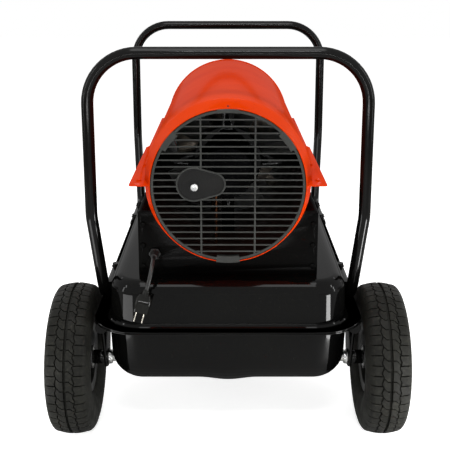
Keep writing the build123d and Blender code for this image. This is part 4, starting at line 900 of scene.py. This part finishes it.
for side in (-1, 1):
    for step in range(barrelFacts["screws"]):
        place = (side * barrelFacts["screwX"], barrelFacts["screwStart"] + barrelFacts["screwPitch"] * step)
        joinInto(shellScrews, facing(disc(screwRadii["washer"], -0.1, 0.9, 28), (0, 0, 1), (*place, upZ)))
        joinInto(shellScrews, facing(hexHead(screwRadii["head"], 0.9, 2.4), (0, 0, 1), (*place, upZ)))
        joinInto(shellScrews, facing(hexHead(screwRadii["nut"], -0.1, 2.5), (0, 0, -1), (*place, downZ)))
        joinInto(shellScrews, facing(disc(screwRadii["stem"], downZ - 4, upZ, 16), (0, 0, 1), (*place, 0)))
placePiece("shellScrewSet", shellScrews, "zinc_steel", "chassis", ["shell_screws"], coat="barrel_enamel")
print("barrel spun")

# intake guard: a round rim, level bars, two posts and lugs, with a pear-shaped loop moulded in
guardFacts = {
    "ringR": 120.2, "ringIn": 116.2, "deep": 4.0, "rounding": 0.9,
    "bars": 21, "pitch": 10.5, "barT": 2.2, "postX": 42.0, "postT": 2.8, "postRounding": 0.8,
    # each lug's angle, width, outer radius and reach inwards
    "lugs": [(38, 34, 121.4, 5), (142, 34, 121.4, 5), (90, 34, 121.4, 1), (270, 38, 124.0, 3)],
    "lugStep": 121.4,
    # the pear's two round ends, each across, up and radius
    "pearBig": (-53.5, 3.5, 26.2), "pearSmall": (-22.8, 3.5, 18.2), "pearWall": 1.2, "pearGap": 24.5,
    "screwAt": (-52.3, -0.8),
}


def roundedBar(centre, size, rounding):
    # a bar in the guard's plane, its size given across, along the barrel and upwards
    bm = bmesh.new()
    bmesh.ops.create_cube(bm, size=1.0)
    bmesh.ops.scale(bm, vec=[v * mm for v in size], verts=bm.verts)
    roundEdges(bm, bm.edges[:], rounding, 3)
    moveBy(bm, at(*centre))
    return bm


ringIn, ringR = guardFacts["ringIn"], guardFacts["ringR"]
guard = spunSection([
    (ringIn + 0.9, guardY), (ringR - 0.9, guardY), (ringR - 0.2, guardY + 0.3), (ringR, guardY + 1.0),
    (ringR, guardY + 3.2), (ringR - 0.6, guardY + 4.0), (ringIn + 0.6, guardY + 4.0), (ringIn, guardY + 3.2),
    (ringIn, guardY + 1.0), (ringIn + 0.2, guardY + 0.3),
], 360, 120, True)
for face in guard.faces:
    face.material_index = 0
midY = guardY + guardFacts["deep"] / 2


def pearReach(up, side):
    # how far the loop reaches to one side at a height: the widest of the circles between its two ends
    bigX, pearUp, bigR = guardFacts["pearBig"]
    smallX, _, smallR = guardFacts["pearSmall"]
    reaches = []
    for step in range(25):
        share = step / 24
        endX, endR = bigX + (smallX - bigX) * share, bigR + (smallR - bigR) * share
        if abs(up - pearUp) < endR:
            reaches.append(endX + side * math.sqrt(endR**2 - (up - pearUp) ** 2))
    return (max(reaches) if side > 0 else min(reaches)) if reaches else None


for row in range(guardFacts["bars"]):
    up = (row - guardFacts["bars"] // 2) * guardFacts["pitch"]
    half = math.sqrt(ringIn**2 - up**2) + 1.5
    spans = [(-half, half)]
    if pearReach(up, 1) is not None:
        spans = [(-half, pearReach(up, -1)), (pearReach(up, 1), half)]
    for start, end in spans:
        size = (end - start, guardFacts["deep"] - 0.4, guardFacts["barT"])
        joinInto(guard, roundedBar(((start + end) / 2, midY, barrelZ + up), size, guardFacts["rounding"]))
for x in (-guardFacts["postX"], guardFacts["postX"]):
    half = math.sqrt(ringIn**2 - x**2) + 1.5
    spans = [(-half, half)]
    if x < 0:
        pearUp = guardFacts["pearBig"][1]
        spans = [(-half, pearUp - guardFacts["pearGap"]), (pearUp + guardFacts["pearGap"], half)]
    for start, end in spans:
        size = (guardFacts["postT"], guardFacts["deep"] - 0.2, end - start)
        place = (x, midY + 0.1, barrelZ + (start + end) / 2)
        joinInto(guard, roundedBar(place, size, guardFacts["postRounding"]))
for angle, width, outer, inwards in guardFacts["lugs"]:
    # a curved block between two radii, spun over its width
    reach = math.degrees(width / outer)
    inner = ringIn - inwards
    step = min(outer, guardFacts["lugStep"])
    section = [(inner, guardY + 0.5), (inner + 0.6, guardY - 0.3), (outer - 0.5, guardY - 0.3),
               (outer, guardY + 0.2), (outer, guardY + 1.8), (step, guardY + 1.85), (step, guardY + 9.0),
               (inner, guardY + 9.0)]
    lug = spunSection(section, -reach, max(4, round(reach / 3)))
    turn = Matrix.Rotation(-math.radians(angle - reach / 2), 3, "Y")
    bmesh.ops.rotate(lug, cent=at(0, 0, barrelZ), matrix=turn, verts=lug.verts)
    for face in lug.faces:
        face.material_index = 0
    joinInto(guard, lug)


def pearOutline(grow):
    # a circle whose left and right points move out onto the pear's two round ends
    bigX, up, bigR = guardFacts["pearBig"]
    smallX, _, smallR = guardFacts["pearSmall"]
    tangent = (bigR - smallR) / (smallX - bigX)
    bm = bmesh.new()
    bmesh.ops.create_circle(bm, cap_ends=False, segments=72, radius=1.0)
    for vert in bm.verts:
        way = vert.co.normalized()
        endX, endR = (smallX, smallR) if way.x > tangent else (bigX, bigR)
        vert.co = at(endX + way.x * (endR + grow), 0, barrelZ + up + way.y * (endR + grow))
    return bm


# the loop's wall: an outline drawn out along the barrel and given its thickness
pear = pearOutline(guardFacts["pearWall"])
grown = bmesh.ops.extrude_edge_only(pear, edges=pear.edges[:])
moveBy(pear, (0, guardFacts["deep"] * mm, 0), onlyOf(bmesh.types.BMVert, grown))
faceOutwards(pear)
if sum((f.calc_center_median() - at(-40, guardY, barrelZ)).dot(f.normal) for f in pear.faces) < 0:
    bmesh.ops.reverse_faces(pear, faces=pear.faces)
bmesh.ops.solidify(pear, geom=pear.faces[:], thickness=2 * guardFacts["pearWall"] * mm)
roundEdges(pear, [e for e in pear.edges if e.calc_face_angle(0) > math.radians(60)], 0.7, 3)
moveBy(pear, (0, guardY * mm, 0))
joinInto(guard, pear)
placePiece("intakeGrille", guard, "guard_coat", "chassis", ["intake_guard", "guard_clips"], sharp=40)

# the plate in the loop, with a sunk field and a raised collar round its screw
plateFacts = {"thick": 1.6, "border": 1.6, "slope": 0.4, "sunk": 0.5, "back": 2.6,
              "collar": (9.0, 0, 0.9, 40)}
plate = pearOutline(-guardFacts["pearWall"] - 0.05)
face = bmesh.ops.contextual_create(plate, geom=plate.edges[:])["faces"][0]
grown = bmesh.ops.extrude_face_region(plate, geom=[face])
front = onlyOf(bmesh.types.BMFace, grown)[0]
moveBy(plate, (0, -plateFacts["thick"] * mm, 0), front.verts)
for width in (plateFacts["border"], plateFacts["slope"]):
    bmesh.ops.inset_region(plate, faces=[front], thickness=width * mm, use_even_offset=True)
moveBy(plate, (0, plateFacts["sunk"] * mm, 0), front.verts)
moveBy(plate, (0, (guardY + plateFacts["back"]) * mm, 0))
faceOutwards(plate)
screwX, screwUp = guardFacts["screwAt"]
joinInto(plate, facing(disc(*plateFacts["collar"]), (0, -1, 0), (screwX, guardY + 1.7, barrelZ + screwUp)))
placePiece("pearPlate", plate, "plate_plastic", "chassis", ["guard_plate"], sharp=40)
# the head's radius, low, high, slot and its depth
screwFacts = {"head": (5.6, -0.9, 2.2, 1.7, 1.5), "stemR": 3.0, "stemEnd": axleY - 28}
screw = facing(slottedHead(*screwFacts["head"]), (0, -1, 0), (screwX, guardY, barrelZ + screwUp))
stem = disc(screwFacts["stemR"], 0, screwFacts["stemEnd"] - guardY - 0.5, 20, 0.2)
joinInto(screw, facing(stem, (0, 1, 0), (screwX, guardY + 0.5, barrelZ + screwUp)))
placePiece("pearScrew", screw, "zinc_steel", "chassis", ["guard_screw"])
print("guard moulded")

# outlet nose: spun from one sheet, with a bead at its step and a rolled rim
noseFacts = {"slipR": 131.5, "stepR": 134.4, "spigotR": 112.0, "sheet": 1.4, "steps": 120}
slipR, stepR, spigotR = noseFacts["slipR"] - 0.05, noseFacts["stepR"], noseFacts["spigotR"]
nosePath = [
    (slipR, frontY - 15.5), (slipR, frontY - 0.2), (133.6, frontY + 0.1), (134.3, frontY + 0.8),
    (stepR, frontY + 2.0), (stepR, frontY + 5.0), (133.6, frontY + 7.2), (131.6, frontY + 9.5),
    (124.0, frontY + 24.0), (115.5, outletY - 20.5), (113.4, outletY - 17.6), (112.3, outletY - 15.4),
    (spigotR, outletY - 13.0), (spigotR, outletY - 0.8), (111.8, outletY - 0.2),
]
noseSection = nosePath + [(r - noseFacts["sheet"], y) for r, y in reversed(nosePath)]
nose = spunSection(noseSection, 360, noseFacts["steps"], True)
nosePiece = placePiece("outletNose", nose, "barrel_enamel", "chassis", ["outlet_cone"], sharp=30)
# the nose's inside gets the painted shade as its second material
nosePiece.data.materials.append(finishes["primer"])

# the swirl slots of the combustion chamber each have a louvre, lanced from its end wall and leaning inwards
louvreFacts = {"count": 10, "start": 18.0, "ringR": 64.0, "length": 28.0, "width": 8.6, "thick": 0.8,
               "lean": 16.0, "wallY": axleY + 240, "clear": 2.0, "hinge": 3.6, "edge": 0.2}
louvres = bmesh.new()
lean = math.radians(louvreFacts["lean"])
across = louvreFacts["width"] / 2 * math.cos(lean) - louvreFacts["hinge"]
deep = louvreFacts["clear"] + louvreFacts["width"] / 2 * math.sin(lean)
size = (louvreFacts["length"], louvreFacts["thick"], louvreFacts["width"])
for step in range(louvreFacts["count"]):
    turn = math.radians(louvreFacts["start"] + 360 / louvreFacts["count"] * step)
    onWall = Matrix.Translation(at(0, louvreFacts["wallY"], barrelZ)) @ Matrix.Rotation(turn, 4, "Y")
    overSlot = Matrix.Translation(at(louvreFacts["ringR"], deep, across)) @ Matrix.Rotation(lean, 4, "X")
    bmesh.ops.create_cube(louvres, size=mm, matrix=onWall @ overSlot @ Matrix.Diagonal((*size, 1)))
roundEdges(louvres, louvres.edges[:], louvreFacts["edge"], 1)
placePiece("swirlLouvres", louvres, slotOf["combustion_chamber"], "chassis")
print("nose and louvres made")

# what keeps the solid's own form, with the width of its rounded edges in millimetres
softWidths = {
    "base_housing": 0.6, "rear_panel": 0.4, "motor_body": 1.2, "motor_bracket": 0.5, "pump_body": 0.8,
    "pump_cover": 1.0, "combustion_chamber": 0.4, "chamber_brackets": 0.4, "burner_head": 0.6,
    "filler_neck": 0.6, "fuel_cap": 0.7, "fuel_gauge": 0.8, "control_panel": 0.5, "switch_bezel": 0.4,
    "power_switch": 0.5, "thermostat_body": 0.4, "thermostat_knob": 0.5, "ignition_transformer": 0.8,
    "control_board": 0.3, "strain_relief": 0.8, "mains_plug": 1.2, "plug_blades": 0.35, "rim_left": 0.9,
    "rim_right": 0.9, "rim_bolts_left": 0.5, "rim_bolts_right": 0.5, "bearings_left": 0.5,
    "bearings_right": 0.5, "axle": 0.4, "fan": 0.4, "fuel_line": 0.0, "air_line": 0.0, "igniter": 0.4,
    "photocell": 0.6, "pilot_lamp": 0.3, "fuel_pickup": 0.4, "pump_screws": 0.6, "bracket_bolts": 0.5,
    "pump_rotor": 0.4, "motor_shaft": 0.3, "panel_screws": 0.9,
}
# small fasteners and flat covers that are painted like what they hold
paintedOver = {
    "pump_screws": "motor_enamel", "bracket_bolts": "motor_enamel", "panel_screws": "cover_enamel",
    "base_housing": "cover_enamel", "rear_panel": "cover_enamel",
}
for node, width in softWidths.items():
    softenedCopy(node, width, coat=paintedOver.get(node))
print("solids softened:", len(softWidths))
